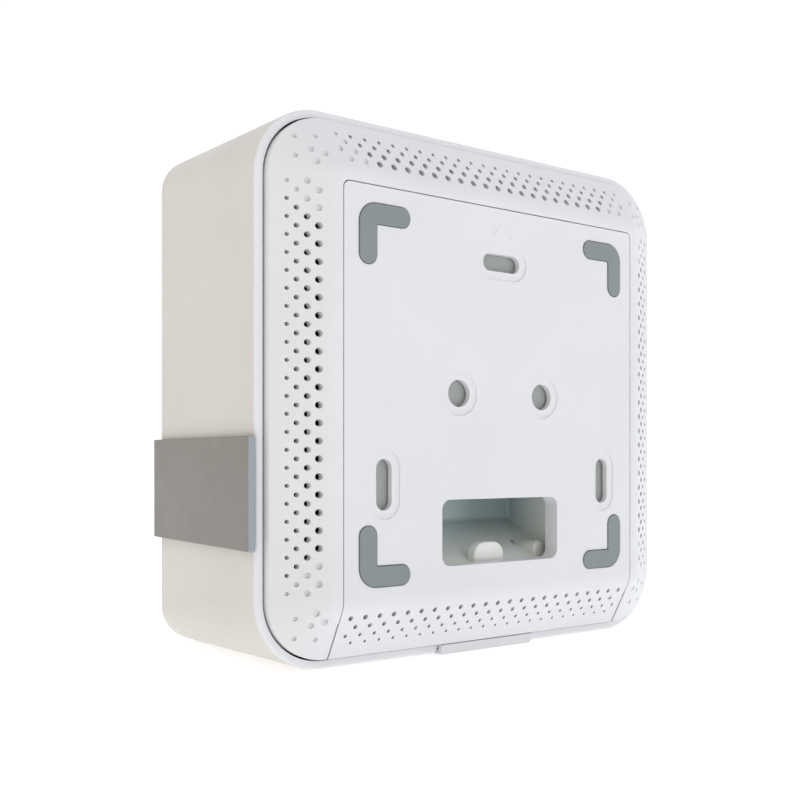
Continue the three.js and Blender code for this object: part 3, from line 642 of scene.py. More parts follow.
def build_cover():
    """The bevelled cover with its pan, keyholes, bay hole and vents."""
    shell = bpy.context.scene.shell_sizes
    plate = bpy.context.scene.plate_sizes
    cover_corner = shell.corner - (BODY_HALF - COVER_HALF)
    flat = COVER_HALF - shell.run
    cover = rounded_block("cover_shell", COVER_HALF, cover_corner, shell.drop, COVER_HIGH.y, 28)
    with Shaping(cover):
        pick_faces(lambda middle, normal: normal.y < -0.9)
        bpy.ops.mesh.inset(thickness=shell.run, depth=0, use_even_offset=True)
        bpy.ops.transform.translate(value=(0, -shell.drop, 0))
        round_edges(at_depth(0), shell.bend, 6)
        pick_faces(lambda middle, normal: normal.y > 0.9)
        bpy.ops.mesh.delete(type="FACE")
    modify(cover, "SOLIDIFY", thickness=shell.cover_wall, offset=-1, use_even_offset=True, use_rim=True)
    with Shaping(cover):
        round_edges(on_outline(shell.drop, COVER_HALF, cover_corner), shell.edge * 2, 3)
    modify(cover, "TRIANGULATE")
    window_half = PLATE_HALF + shell.seam
    curb = window_half + shell.cover_wall
    inner = shell.pan + shell.cover_wall
    pan = folded_block("pan", curb, inner / 5, inner, curb, 0.985)
    weld(cover, pan)
    window = folded_block("window", window_half, -PAST, shell.pan, window_half, 1.2)
    with Shaping(window):
        round_edges(side_edges(window_half), plate.corner + shell.seam, 8)
    soften_fold(window, shell.pan, shell.bend)
    carve(cover, window)
    carve(cover, *cover_holes())
    bosses = [screw_rod("boss", screw, POST, inner - PAST, inner + BOSS_LENGTH) for screw in COVER_SCREWS]
    weld(cover, *bosses)
    heads, bores = [], []
    for screw in COVER_SCREWS:
        low, high = screw
        heads.append(screw_rod("head", screw, high.x - low.x + 2 * FIT, -PAST, low.y + HEAD_SEAT))
        bores.append(screw_rod("bore", screw, COVER_BORE, -PAST, COVER_HIGH.y + PAST))
    carve(cover, *heads)
    carve(cover, *bores)
    through, blind = side_vents()
    side_sets = [gather("vents", through), gather("dimples", blind)]
    corner_set = gather("dimples", corner_dimples())
    three_sides = (0, math.pi / 2, -math.pi / 2)
    cutters = [turned(vents, "vents", turn) for vents in side_sets for turn in three_sides]
    cutters += [turned(corner_set, "dimples", turn) for turn in (*three_sides, math.pi)]
    for spare in (*side_sets, corner_set):
        bpy.data.objects.remove(spare, do_unlink=True)
    carve(cover, *cutters)
    return finish_piece(cover, MATERIALS["cover_white"], "device", "rear_cover", 28)


def cover_holes():
    """The four keyholes for the plate's hooks and the hole for the cable opening."""
    shell = bpy.context.scene.shell_sizes
    plate = bpy.context.scene.plate_sizes
    narrow, wide = HOOK_STEM + FIT, HOOK_HEAD + FIT
    back = COVER_HIGH.y
    tools = []
    for x, z in hook_places():
        low, high = z - HOOK_RISE - LIFT, z + HOOK_RISE
        slot = block("slot", (x - narrow, 0, low), (x + narrow, back, high + shell.gap))
        head = block("head", (x - wide, -PAST, low - FIT), (x + wide, back + PAST, high - LIFT + FIT))
        weld(slot, head)
        tools.append(slot)
    bottom, top = opening_span()
    side = plate.opening_half + plate.collar_wall + FIT
    ledge = bottom - plate.collar_wall - FIT - LIFT
    tools.append(block("bay", (-side, 0, ledge), (side, back, top + plate.collar_wall + FIT)))
    return tools


def hook_places():
    """Middle of each of the plate's four hooks."""
    return [(x, z) for z in HOOK_ROWS for x in (-HOOK_X, HOOK_X)]


def opening_span():
    """Lowest and highest Z of the cable opening."""
    plate = bpy.context.scene.plate_sizes
    flat = COVER_HALF - bpy.context.scene.shell_sizes.run
    bottom = -flat + plate.opening_rise
    return bottom, bottom + plate.opening_height


# ---------------------------------------------------------------- mounting plate


def opening_block(name, margin, y0, y1):
    """A block with the outline of the cable opening."""
    plate = bpy.context.scene.plate_sizes
    bottom, top = opening_span()
    return rounded_block(
        name, plate.opening_half + margin, plate.opening_corner + margin, y0, y1, 10,
        (0, (bottom + top) / 2), plate.opening_height / 2 + margin,
    )


def screw_openings():
    """Centre and half sizes of the three slots and the two round holes."""
    plate = bpy.context.scene.plate_sizes
    long, short = plate.slot_length / 2, plate.slot_width / 2
    side_x = PLATE_HALF - plate.side_slot
    return [
        (0, PLATE_HALF - plate.top_slot, long, short),
        (-side_x, plate.side_slot_z, short, long),
        (side_x, plate.side_slot_z, short, long),
        (-plate.hole_spacing / 2, 0, plate.hole / 2, plate.hole / 2),
        (plate.hole_spacing / 2, 0, plate.hole / 2, plate.hole / 2),
    ]


def pad_block(name, margin, y0, y1):
    """An L at the upper right corner with round arm ends and a rounded outer corner."""
    outer = PAD_HIGH.x + margin
    start = outer - PAD_WIDTH - 2 * margin
    reach = PAD_HIGH.x - PAD_LOW.x - PAD_WIDTH
    piece = block(name, (start, y0, start), (outer, y1, outer))
    with Shaping(piece):
        pick_faces(lambda middle, normal: normal.x < -0.9)
        extrude((-reach, 0, 0))
        pick_faces(lambda middle, normal: normal.z < -0.9 and middle.x > start)
        extrude((0, 0, -reach))
        tip = start - reach
        tips = lambda a, b: along(1)(a, b) and (near(a.x, tip) or near(a.z, tip))
        round_edges(tips, (PAD_WIDTH / 2 + margin) * 0.99, 8)
        round_edges(corner_edge(outer, outer), PAD_CORNER + margin, 10)
        round_edges(corner_edge(start, start), 0.4 * MM, 3)
    return piece


def pad_places():
    """Number, turn and lift of each pad, from the upper right one."""
    quarter = math.pi / 2
    return [(2, 0, 0), (4, quarter, LOWER_PAD_DROP), (3, 2 * quarter, LOWER_PAD_DROP), (1, -quarter, 0)]


def hook_block(x, z):
    """A T hook on the plate's inner side."""
    plate = bpy.context.scene.plate_sizes
    end = HOOK_NECK + 2 * MM
    root = plate.wall - SUNK
    stem = block("hook", (x - HOOK_STEM, root, z - HOOK_RISE), (x + HOOK_STEM, end, z + HOOK_RISE))
    with Shaping(stem):
        bpy.ops.mesh.select_all(action="SELECT")
        bpy.ops.mesh.bisect(plane_co=(x, HOOK_NECK, z), plane_no=(0, 1, 0))
        pick_faces(lambda middle, normal: abs(normal.x) > 0.9 and middle.y > HOOK_NECK)
        bpy.ops.mesh.extrude_region_shrink_fatten(TRANSFORM_OT_shrink_fatten={"value": HOOK_HEAD - HOOK_STEM})
    break_edges(stem, 0.3 * MM)
    return stem


def arrow_bars():
    """Two raised bars that meet in a point: the mark that shows which way is up."""
    plate = bpy.context.scene.plate_sizes
    proud = 0.14 * MM
    thick = 0.55 * MM
    drop = 3.8 * MM
    length = math.hypot(plate.mark_arm, drop)
    bars = []
    for side in (-1, 1):
        bar = block("bar", (-thick / 2, -proud, -length), (thick / 2, SUNK, 0))
        make_active(bar)
        bar.rotation_euler = (0, -side * math.atan2(plate.mark_arm, drop), 0)
        bar.location = (0, 0, plate.mark_top)
        bpy.ops.object.transform_apply(location=True, rotation=True, scale=True)
        bars.append(bar)
    weld(bars[0], bars[1])
    return bars[0]


def build_plate():
    """The mounting plate with its slots, pad seats, collar, hooks and vents."""
    shell = bpy.context.scene.shell_sizes
    sizes = bpy.context.scene.plate_sizes
    plate = folded_block("wall_plate", PLATE_HALF, 0, sizes.wall, PLATE_HALF, 1)
    soften_fold(plate, 0, shell.bend)
    soften_fold(plate, sizes.wall, shell.bend / 2)
    with Shaping(plate):
        round_edges(side_edges(PLATE_HALF), sizes.corner, 8)
        bpy.ops.mesh.select_all(action="SELECT")
        bpy.ops.mesh.bisect(plane_co=PLATE_HIGH, plane_no=(0, 1, 0), use_fill=True, clear_outer=True)
    break_edges(plate, shell.edge, 3, 60)
    weld(plate, opening_block("collar", sizes.collar_wall, sizes.wall - SUNK, sizes.collar_depth))
    weld(plate, *[hook_block(x, z) for x, z in hook_places()])
    seat = pad_block("seat", shell.gap, -PAST, PAD_SEAT)
    seats = [turned(seat, "seat", turn, lift) for _, turn, lift in pad_places()]
    bpy.data.objects.remove(seat, do_unlink=True)
    margin, depth = sizes.recess_margin, sizes.recess_depth
    recesses = [stadium("recess", *hole, margin, -PAST, depth) for hole in screw_openings()]
    carve(plate, *seats)
    carve(plate, *recesses)
    through = [stadium("slot", *hole, 0, -PAST, sizes.wall + PAST) for hole in screw_openings()]
    carve(plate, opening_block("opening", 0, -PAST, sizes.collar_depth + PAST), *through)
    break_edges(plate, 0.18 * MM, 2, 60)
    weld(plate, arrow_bars())
    vents = gather("vents", plate_vents())
    below = turned(vents, "vents", math.pi)
    bpy.data.objects.remove(vents, do_unlink=True)
    carve(plate, below)
    return finish_piece(plate, MATERIALS["plate_white"], "plate", "mounting_plate", 28)


def build_pads():
    """Four rubber pads, modelled once and turned onto each corner."""
    pad = pad_block("corner_pad", 0, PAD_LOW.y, PAD_HIGH.y)
    break_edges(pad, 0.28 * MM, 3, 50)
    for i, turn, lift in pad_places():
        twin = turned(pad, f"corner_pad_{i}", turn, lift)
        finish_piece(twin, MATERIALS["grey_rubber"], "plate", f"foot_pad_{i}")
    bpy.data.objects.remove(pad, do_unlink=True)


# ---------------------------------------------------------------- housing, band, light pipe and tab


def build_housing():
    """The tray with a filleted front, a rounded rim, posts and the seats of band and light pipe."""
    shell = bpy.context.scene.shell_sizes
    front = HOUSING_HIGH.y
    housing = rounded_block("housing_shell", BODY_HALF, shell.corner, shell.rim, front, 32)
    tighten_front_corners(housing, front, shell.front_corner / shell.corner)
    with Shaping(housing):
        round_edges(at_depth(front), shell.fillet, 10)
        pick_faces(lambda middle, normal: normal.y < -0.9)
        bpy.ops.mesh.delete(type="FACE")
    modify(housing, "SOLIDIFY", thickness=shell.wall, offset=-1, use_even_offset=True, use_rim=True)
    with Shaping(housing):
        round_edges(on_outline(shell.rim, BODY_HALF, shell.corner), shell.rim_round, 4)
    past_front = front - shell.wall + PAST
    posts = [screw_rod("post", screw, POST, HOUSING_LOW.y, past_front) for screw in COVER_SCREWS]
    posts += [
        screw_rod("post", screw, STANDOFF, BOARD_FRONT + shell.gap, past_front) for screw in BOARD_SCREWS
    ]
    weld(housing, *posts)
    bores = []
    for screws, bore in ((COVER_SCREWS, COVER_BORE), (BOARD_SCREWS, BOARD_BORE)):
        bores += [screw_rod("bore", screw, bore, 0, screw[1].y + PAST) for screw in screws]
    left, right, end = TAB_LOW.x - FIT, TAB_HIGH.x + FIT, TAB_HIGH.y + FIT
    under = -BODY_HALF - PAST
    seat = block("seat", (left, shell.rim - PAST, under), (right, end, -BODY_HALF + shell.tab_recess))
    window = block(
        "window", (left, TAB_HIGH.y - BARB_LENGTH - FIT, under), (right, end, -BODY_HALF + shell.wall + PAST)
    )
    studs = band_studs(STUD_BORE, shell.wall + STUD_BORE_PAST, STUD_BORE_PAST)
    carve(housing, *bores, *studs, seat)
    carve(housing, window, lens_block("lens_slot", shell.gap, front - LENS_CUT, front + VENT_REACH))
    return finish_piece(housing, MATERIALS["shell_white"], "device", "main_housing", 28)


def tighten_front_corners(housing, front, share):
    """Shrinks the front ring's four arcs about the corners of its square."""
    for side in (-1, 1):
        for level in (-1, 1):
            with Shaping(housing):
                pick("verts", lambda v: near(v.co.y, front) and v.co.x * side > 0 and v.co.z * level > 0)
                bpy.ops.transform.resize(
                    value=(share, 1, share), center_override=(side * BODY_HALF, front, level * BODY_HALF),
                )


def band_studs(diameter, inward, outward):
    """The studs that hold the band, two in the side wall and two in the front wall."""
    shell = bpy.context.scene.shell_sizes
    middle = (BAND_LOW.z + BAND_HIGH.z) / 2
    length = inward + outward
    shift = (outward - inward) / 2
    studs = []
    for y in (shell.rim + STUD_INSET, HOUSING_HIGH.y - STUD_INSET):
        clear_selection()
        bpy.ops.mesh.primitive_cylinder_add(
            vertices=SMALL_SIDES, radius=diameter / 2, depth=length, location=(-BODY_HALF - shift, y, middle),
            rotation=(0, math.pi / 2, 0),
        )
        studs.append(settle("stud"))
    for side in (-1, 1):
        x = side * (BAND_HIGH.x - FRONT_STUD_INSET)
        y0, y1 = HOUSING_HIGH.y - inward, HOUSING_HIGH.y + outward
        studs.append(rod("stud", x, middle, diameter, y0, y1, SMALL_SIDES))
    return studs


def lens_block(name, margin, y0, y1):
    """The light pipe's outline: a flat bar with round ends."""
    middle = (LENS_LOW.z + LENS_HIGH.z) / 2
    return stadium(name, 0, middle, LENS_HALF_LENGTH, LENS_HALF_HEIGHT, margin, y0, y1)


def build_band():
    """The band: along the left side, round the front corner and across the front."""
    shell = bpy.context.scene.shell_sizes
    wall = shell.band_wall
    radius = shell.fillet + shell.gap + wall
    centre = (BAND_LOW.x + radius, BAND_HIGH.y - radius, 0)
    band = block(
        "side_band", (BAND_LOW.x, BAND_LOW.y, BAND_LOW.z), (BAND_LOW.x + wall, centre[1], BAND_HIGH.z)
    )
    with Shaping(band):
        pick_faces(lambda middle, normal: normal.y > 0.9)
        bpy.ops.mesh.spin(steps=16, angle=math.pi / 2, center=centre, axis=(0, 0, 1))
        bpy.ops.mesh.select_all(action="SELECT")
        bpy.ops.mesh.normals_make_consistent(inside=False)
        pick_faces(lambda middle, normal: near(middle.x, centre[0]))
        extrude((BAND_HIGH.x - centre[0], 0, 0))
        bpy.ops.mesh.select_all(action="SELECT")
        bpy.ops.mesh.remove_doubles(threshold=0.01 * MM)
        bpy.ops.mesh.normals_make_consistent(inside=False)
    break_edges(band, 0.45 * MM, 3, 40)
    weld(band, *band_studs(STUD, shell.wall + STUD_PAST, shell.gap + wall / 2))
    carve(band, lens_block("lens_slot", shell.gap, HOUSING_HIGH.y - PAST, BAND_HIGH.y + PAST))
    return finish_piece(band, MATERIALS["band_grey"], "device", "accent_band")


def build_lens():
    """The light pipe with its flange."""
    shell = bpy.context.scene.shell_sizes
    flange_front = HOUSING_HIGH.y - shell.wall - shell.gap
    lens = lens_block("light_pipe", 0, flange_front - PAST, LENS_HIGH.y)
    with Shaping(lens):
        round_edges(at_depth(LENS_HIGH.y), shell.edge, 3)
    weld(lens, lens_block("flange", LENS_FLANGE, LENS_LOW.y, flange_front))
    return finish_piece(lens, MATERIALS["lens"], "device", "status_lens")


def build_tab():
    """The release tab: a wall behind the rim, a lip under the housing and a barb."""
    shell = bpy.context.scene.shell_sizes
    lip = -BODY_HALF + shell.tab_recess - shell.gap
    barb_start = TAB_HIGH.y - BARB_LENGTH
    tab = block("tab_latch", TAB_LOW, (TAB_HIGH.x, TAB_LOW.y + TAB_WALL, TAB_HIGH.z))
    with Shaping(tab):
        bpy.ops.mesh.select_all(action="SELECT")
        bpy.ops.mesh.bisect(plane_co=(0, 0, lip), plane_no=(0, 0, 1))
        pick_faces(lambda middle, normal: normal.y > 0.9 and middle.z < lip)
        extrude((0, barb_start - TAB_LOW.y - TAB_WALL, 0))
        extrude((0, TAB_HIGH.y - barb_start, 0))
        pick_edges(lambda a, b: along(0)(a, b) and near(a.z, lip) and near(a.y, TAB_HIGH.y))
        bpy.ops.transform.translate(value=(0, 0, TAB_BARB))
        round_edges(corner_edge(TAB_HIGH.x, TAB_LOW.z), 1.2 * MM, 1)
    break_edges(tab, 0.25 * MM, 2, 50)
    return finish_piece(tab, MATERIALS["plate_white"], "tab", "release_tab")


# ---------------------------------------------------------------- port bay


def ramp_block(name, half, y0, y1, step, low, high, top, ledge):
    """A box with a sloping floor and a lower ledge near the wall."""
    piece = block(name, (-half, y0, low), (half, y1, top))
    with Shaping(piece):
        bpy.ops.mesh.select_all(action="SELECT")
        bpy.ops.mesh.bisect(plane_co=(0, step, 0), plane_no=(0, 1, 0))
        pick_edges(lambda a, b: along(0)(a, b) and near(a.y, y1) and near(a.z, low))
        bpy.ops.transform.translate(value=(0, 0, high - low))
        pick_faces(lambda middle, normal: normal.z < -0.9 and middle.y < step)
        extrude((0, 0, ledge - low))
    return piece


def build_bay():
    """The liner behind the cable opening, with a ramp, a tongue, a boss and the reset pinhole."""
    bay = bpy.context.scene.bay_sizes
    shell = bpy.context.scene.shell_sizes
    bottom, _ = opening_span()
    wall = bay.wall
    low = bottom - bay.ramp_drop
    high = low + bay.ramp_rise
    half = BAY_HIGH.x - wall
    depth = BAY_HIGH.y - wall
    top = BAY_HIGH.z - wall
    ledge = BAY_LOW.z + wall
    start = bay.ramp_front
    liner = ramp_block(
        "port_liner", BAY_HIGH.x, BAY_LOW.y, BAY_HIGH.y, start + wall, low - wall, high - wall / 2,
        BAY_HIGH.z, BAY_LOW.z,
    )
    hollow = ramp_block("hollow", half, BAY_LOW.y - PAST, depth, start, low, high, top, ledge)
    break_edges(hollow, bay.round, 4, 20)
    carve(liner, hollow)
    floor = ramp_block(
        "floor", half + wall / 2, start - PAST, depth + wall / 2, start, low - wall / 2, high - wall / 2,
        top, low - wall / 2 - 0.1 * MM,
    )
    tongue_top = low + bay.tongue_height
    half_tongue = bay.tongue_width / 2
    tongue = block(
        "tongue", (bay.tongue_x - half_tongue, start, low - wall / 2),
        (bay.tongue_x + half_tongue, start + bay.tongue_wall, tongue_top),
    )
    with Shaping(tongue):
        round_edges(side_edges(tongue_top), half_tongue * 0.7, 12)
        round_edges(at_depth(start), 0.7 * MM, 4)
    boss_start = start + bay.boss_sunk
    boss = rod("boss", bay.boss_x, bottom + bay.boss_rise, bay.boss, boss_start, boss_start + BAY_BOSS_LENGTH)
    with Shaping(boss):
        round_edges(at_depth(boss_start), bay.round, 4)
    reset_x = (RESET_LOW.x + RESET_HIGH.x) / 2
    reset_z = (RESET_LOW.z + RESET_HIGH.z) / 2
    guide = rod("guide", reset_x, reset_z, GUIDE, start + GUIDE_START, RESET_HIGH.y - GUIDE_END)
    for extra in (tongue, boss):
        combine(extra, [copy_of(floor, "trim")], "INTERSECT")
    bpy.data.objects.remove(floor, do_unlink=True)
    carve(guide, hollow_space(half, start, low, high, top))
    for extra in (tongue, boss, guide):
        weld(liner, extra)
    gap = Vector((shell.gap, shell.gap, shell.gap))
    for jack_low, jack_high in JACKS:
        carve(liner, block("jack", jack_low - gap, jack_high + gap))
    bore_start, bore_end = RESET_LOW.y - shell.gap, BAY_HIGH.y + GUIDE_BORE_PAST
    carve(liner, rod("pinhole", reset_x, reset_z, bay.pinhole, 0, RESET_LOW.y + PAST, SMALL_SIDES))
    carve(liner, rod("bore", reset_x, reset_z, GUIDE_BORE, bore_start, bore_end, SMALL_SIDES))
    return finish_piece(liner, MATERIALS["bay_white"], "device", "port_bay")


def hollow_space(half, start, low, high, top):
    """The room above the ramp."""
    depth = BAY_HIGH.y
    slope = (high - low) / (BAY_HIGH.y - bpy.context.scene.bay_sizes.wall - start)
    end = low + (depth - start) * slope
    return ramp_block("space", half, BAY_LOW.y - PAST, depth, start, low, end, top, low - PAST)


# ---------------------------------------------------------------- shader node groups


def new_group(name, inputs, outputs):
    """An empty shader node group with named sockets."""
    group = bpy.data.node_groups.new(name, "ShaderNodeTree")
    for label, kind, value in inputs:
        socket = group.interface.new_socket(name=label, in_out="INPUT", socket_type=kind)
        socket.default_value = value
    for label, kind in outputs:
        group.interface.new_socket(name=label, in_out="OUTPUT", socket_type=kind)
    return group, group.nodes.new("NodeGroupInput"), group.nodes.new("NodeGroupOutput")


def noise(tree, vector, scale, detail=2.0, roughness=0.5):
    """A noise texture's value."""
    node = tree.nodes.new("ShaderNodeTexNoise")
    node.inputs["Scale"].default_value = scale
    node.inputs["Detail"].default_value = detail
    node.inputs["Roughness"].default_value = roughness
    tree.links.new(vector, node.inputs["Vector"])
    return node.outputs["Fac"]


def math_node(tree, operation, first, second):
    """A Math node whose operands are sockets or numbers."""
    node = tree.nodes.new("ShaderNodeMath")
    node.operation = operation
    for socket, value in zip(node.inputs, (first, second)):
        if isinstance(value, (int, float)):
            socket.default_value = value
        else:
            tree.links.new(value, socket)
    return node.outputs[0]


def spread(tree, value, low, high, to_low=0.0, to_high=1.0):
    """Maps a range of a value onto another, clamped."""
    node = tree.nodes.new("ShaderNodeMapRange")
    for label, limit in (("From Min", low), ("From Max", high), ("To Min", to_low), ("To Max", to_high)):
        node.inputs[label].default_value = limit
    tree.links.new(value, node.inputs["Value"])
    return node.outputs["Result"]


def mix_colour(tree, factor, first, second, blend="MIX"):
    """A colour Mix node; each colour is a socket or an RGB triple."""
    node = tree.nodes.new("ShaderNodeMix")
    node.data_type = "RGBA"
    node.blend_type = blend
    if isinstance(factor, (int, float)):
        node.inputs[0].default_value = factor
    else:
        tree.links.new(factor, node.inputs[0])
    for socket, value in ((node.inputs[6], first), (node.inputs[7], second)):
        if isinstance(value, (tuple, list)):
            socket.default_value = (*value, 1.0)
        else:
            tree.links.new(value, socket)
    return node.outputs[2]


def object_place(tree):
    """Object coordinates."""
    return tree.nodes.new("ShaderNodeTexCoord").outputs["Object"]


def moulded_group():
    """Spark-eroded plastic: fine grain, faint flow marks and uneven gloss."""
    group, start, end = new_group(
        "moulded_plastic",
        [("Colour", "NodeSocketColor", (0.8, 0.8, 0.8, 1)), ("Roughness", "NodeSocketFloat", 0.4),
         ("Grain", "NodeSocketFloat", 2600.0), ("Unevenness", "NodeSocketFloat", 0.06)],
        [("Colour", "NodeSocketColor"), ("Roughness", "NodeSocketFloat"), ("Height", "NodeSocketFloat")],
    )
    place = object_place(group)
    fine = group.nodes.new("ShaderNodeTexNoise")
    fine.inputs["Detail"].default_value = 3.0
    group.links.new(place, fine.inputs["Vector"])
    group.links.new(start.outputs["Grain"], fine.inputs["Scale"])
    cloud = noise(group, place, 26.0, 3.0, 0.55)
    flow = noise(group, place, 120.0, 2.0, 0.6)
    shade = math_node(group, "MULTIPLY", spread(group, cloud, 0.3, 0.7), start.outputs["Unevenness"])
    darker = mix_colour(group, 1.0, start.outputs["Colour"], (0.86, 0.87, 0.86), "MULTIPLY")
    tinted = mix_colour(group, shade, start.outputs["Colour"], darker)
    gloss = math_node(group, "ADD", start.outputs["Roughness"], spread(group, flow, 0.3, 0.7, -0.04, 0.05))
    gloss = math_node(group, "ADD", gloss, spread(group, fine.outputs["Fac"], 0.35, 0.65, -0.03, 0.03))
    group.links.new(tinted, end.inputs["Colour"])
    group.links.new(gloss, end.inputs["Roughness"])
    group.links.new(fine.outputs["Fac"], end.inputs["Height"])
    return group


def dust_group():
    """Fine dust that settles on what faces up, and a little everywhere."""
    group, start, end = new_group(
        "settled_dust",
        [("Colour", "NodeSocketColor", (0.8, 0.8, 0.8, 1)), ("Amount", "NodeSocketFloat", 0.1)],
        [("Colour", "NodeSocketColor"), ("Mask", "NodeSocketFloat")],
    )
    facing = group.nodes.new("ShaderNodeNewGeometry")
    axes = group.nodes.new("ShaderNodeSeparateXYZ")
    group.links.new(facing.outputs["Normal"], axes.inputs[0])
    up = spread(group, axes.outputs["Z"], -0.2, 1.0, 0.25, 1.0)
    patches = spread(group, noise(group, object_place(group), 70.0, 5.0, 0.7), 0.42, 0.72)
    mask = math_node(group, "MULTIPLY", math_node(group, "MULTIPLY", up, patches), start.outputs["Amount"])
    dusty = mix_colour(group, mask, start.outputs["Colour"], (0.55, 0.53, 0.49))
    group.links.new(dusty, end.inputs["Colour"])
    group.links.new(mask, end.inputs["Mask"])
    return group


def scratch_group():
    """Fine handling scratches in two directions."""
    group, start, end = new_group(
        "handling_scratches",
        [("Scale", "NodeSocketFloat", 60.0), ("Amount", "NodeSocketFloat", 0.3)],
        [("Mask", "NodeSocketFloat"), ("Height", "NodeSocketFloat")],
    )
    place = object_place(group)
    masks = []
    for turn in (0.35, 1.25):
        mapping = group.nodes.new("ShaderNodeMapping")
        mapping.inputs["Rotation"].default_value = (turn, turn * 0.6, turn)
        mapping.inputs["Scale"].default_value = (1.0, 14.0, 30.0)
        group.links.new(place, mapping.inputs["Vector"])
        streak = group.nodes.new("ShaderNodeTexNoise")
        streak.inputs["Detail"].default_value = 2.0
        group.links.new(mapping.outputs[0], streak.inputs["Vector"])
        group.links.new(start.outputs["Scale"], streak.inputs["Scale"])
        masks.append(spread(group, streak.outputs["Fac"], 0.68, 0.76))
    both = math_node(group, "MAXIMUM", *masks)
    mask = math_node(group, "MULTIPLY", both, start.outputs["Amount"])
    group.links.new(mask, end.inputs["Mask"])
    group.links.new(math_node(group, "MULTIPLY", mask, -1.0), end.inputs["Height"])
    return group


# ---------------------------------------------------------------- materials

GROUPS = {}
MATERIALS = {}

# Linear RGB of the places where a finish differs from its base colour: painted light and shade, namely cool
# reflections painted on the rear edges of the housing and the band, painted shade in the cover's pan, and
# painted light and shade deep in the port bay.
HOUSING_RIM_PAINTED_REFLECTION = (0.775, 0.785, 0.81)
BAND_RIM_PAINTED_REFLECTION = (0.315, 0.355, 0.385)
PAN_PAINTED_SHADE = (0.36, 0.385, 0.37)
BAY_LEFT_PAINTED_BLUE_LIGHT = (0.78, 0.95, 1.0)
BAY_RIGHT_PAINTED_SHADE = (0.36, 0.46, 0.47)


def new_material(name):
    """A material, its node tree and its Principled shader."""
    material = bpy.data.materials.new(name)
    material.use_nodes = True
    tree = material.node_tree
    shader = next(node for node in tree.nodes if node.type == "BSDF_PRINCIPLED")
    MATERIALS[name] = material
    return tree, shader


def use_group(tree, name, **values):
    """Places a shared node group, with its values set or linked."""
    node = tree.nodes.new("ShaderNodeGroup")
    node.node_tree = GROUPS[name]
    for label, value in values.items():
        socket = node.inputs[label]
        if isinstance(value, bpy.types.NodeSocket):
            tree.links.new(value, socket)
        elif isinstance(value, (int, float)):
            socket.default_value = value
        else:
            socket.default_value = (*value, 1.0)
    return node.outputs


def bump(tree, shader, height, strength, distance):
    """Wires a height into the shader's normal."""
    node = tree.nodes.new("ShaderNodeBump")
    node.inputs["Strength"].default_value = strength
    node.inputs["Distance"].default_value = distance
    tree.links.new(height, node.inputs["Height"])
    tree.links.new(node.outputs["Normal"], shader.inputs["Normal"])


def plastic(name, base, roughness, grain=2600.0, relief=0.25, dust=0.12, uneven=0.35, coat=0.0):
    """Moulded plastic or rubber: grain, uneven gloss, dust and faint scratches."""
    tree, shader = new_material(name)
    skin = use_group(
        tree, "moulded_plastic", Colour=tuple(base), Roughness=roughness, Grain=grain, Unevenness=uneven
    )
    dirt = use_group(tree, "settled_dust", Colour=skin["Colour"], Amount=dust)
    marks = use_group(tree, "handling_scratches", Scale=45.0, Amount=0.3)
    rough = math_node(tree, "ADD", skin["Roughness"], math_node(tree, "MULTIPLY", dirt["Mask"], 0.6))
    rough = math_node(tree, "ADD", rough, math_node(tree, "MULTIPLY", marks["Mask"], 0.2))
    height = math_node(tree, "ADD", skin["Height"], math_node(tree, "MULTIPLY", marks["Height"], 0.7))
    tree.links.new(dirt["Colour"], shader.inputs["Base Color"])
    tree.links.new(rough, shader.inputs["Roughness"])
    bump(tree, shader, height, relief, 0.05 * MM)
    shader.inputs["Coat Weight"].default_value = coat
    shader.inputs["Coat Roughness"].default_value = 0.25
    return shader


def separate_place(tree):
    """Object coordinates as separate X, Y and Z."""
    place = tree.nodes.new("ShaderNodeSeparateXYZ")
    tree.links.new(object_place(tree), place.inputs[0])
    return place.outputs


def tint_where(shader, mask, tint):
    """Mixes a tint into the finish where the mask is one."""
    tree = shader.id_data
    base = shader.inputs["Base Color"].links[0].from_socket
    tree.links.new(mix_colour(tree, mask, base, tint), shader.inputs["Base Color"])


def paint_edge_reflection(shader, depth, tint):
    """Painted reflection: the edge that faces the wall is coloured cooler than the outer face, in place of
    the cool light that it catches.
    """
    tree = shader.id_data
    tint_where(shader, spread(tree, separate_place(tree)["Y"], depth, depth + 0.4 * MM, 1.0, 0.0), tint)


def paint_pan_shade(shader, tint):
    """Painted shade: the cover's pan, under the mounting plate, is coloured a darker grey, standing in for
    the shade of a deeper recess.
    """
    tree = shader.id_data
    shell = bpy.context.scene.shell_sizes
    place = separate_place(tree)
    edge = PLATE_HALF + shell.seam + shell.gap
    across = math_node(tree, "LESS_THAN", math_node(tree, "ABSOLUTE", place["X"], 0.0), edge)
    below = math_node(tree, "LESS_THAN", place["Z"], edge)
    deep = math_node(tree, "GREATER_THAN", place["Y"], shell.pan - shell.gap)
    within = math_node(tree, "MULTIPLY", across, below)
    tint_where(shader, math_node(tree, "MULTIPLY", within, deep), tint)


def paint_bay_light_and_shade(shader, left, right):
    """Painted light and shade: at depth the liner is coloured bluer, as if lit by cool light, and darkest
    towards its far right corner, where shade falls.
    """
    tree = shader.id_data
    place = separate_place(tree)
    side = spread(tree, place["X"], -12 * MM, 14 * MM)
    deep = spread(tree, place["Y"], 12 * MM, 34 * MM)
    tint_where(shader, deep, mix_colour(tree, side, left, right))


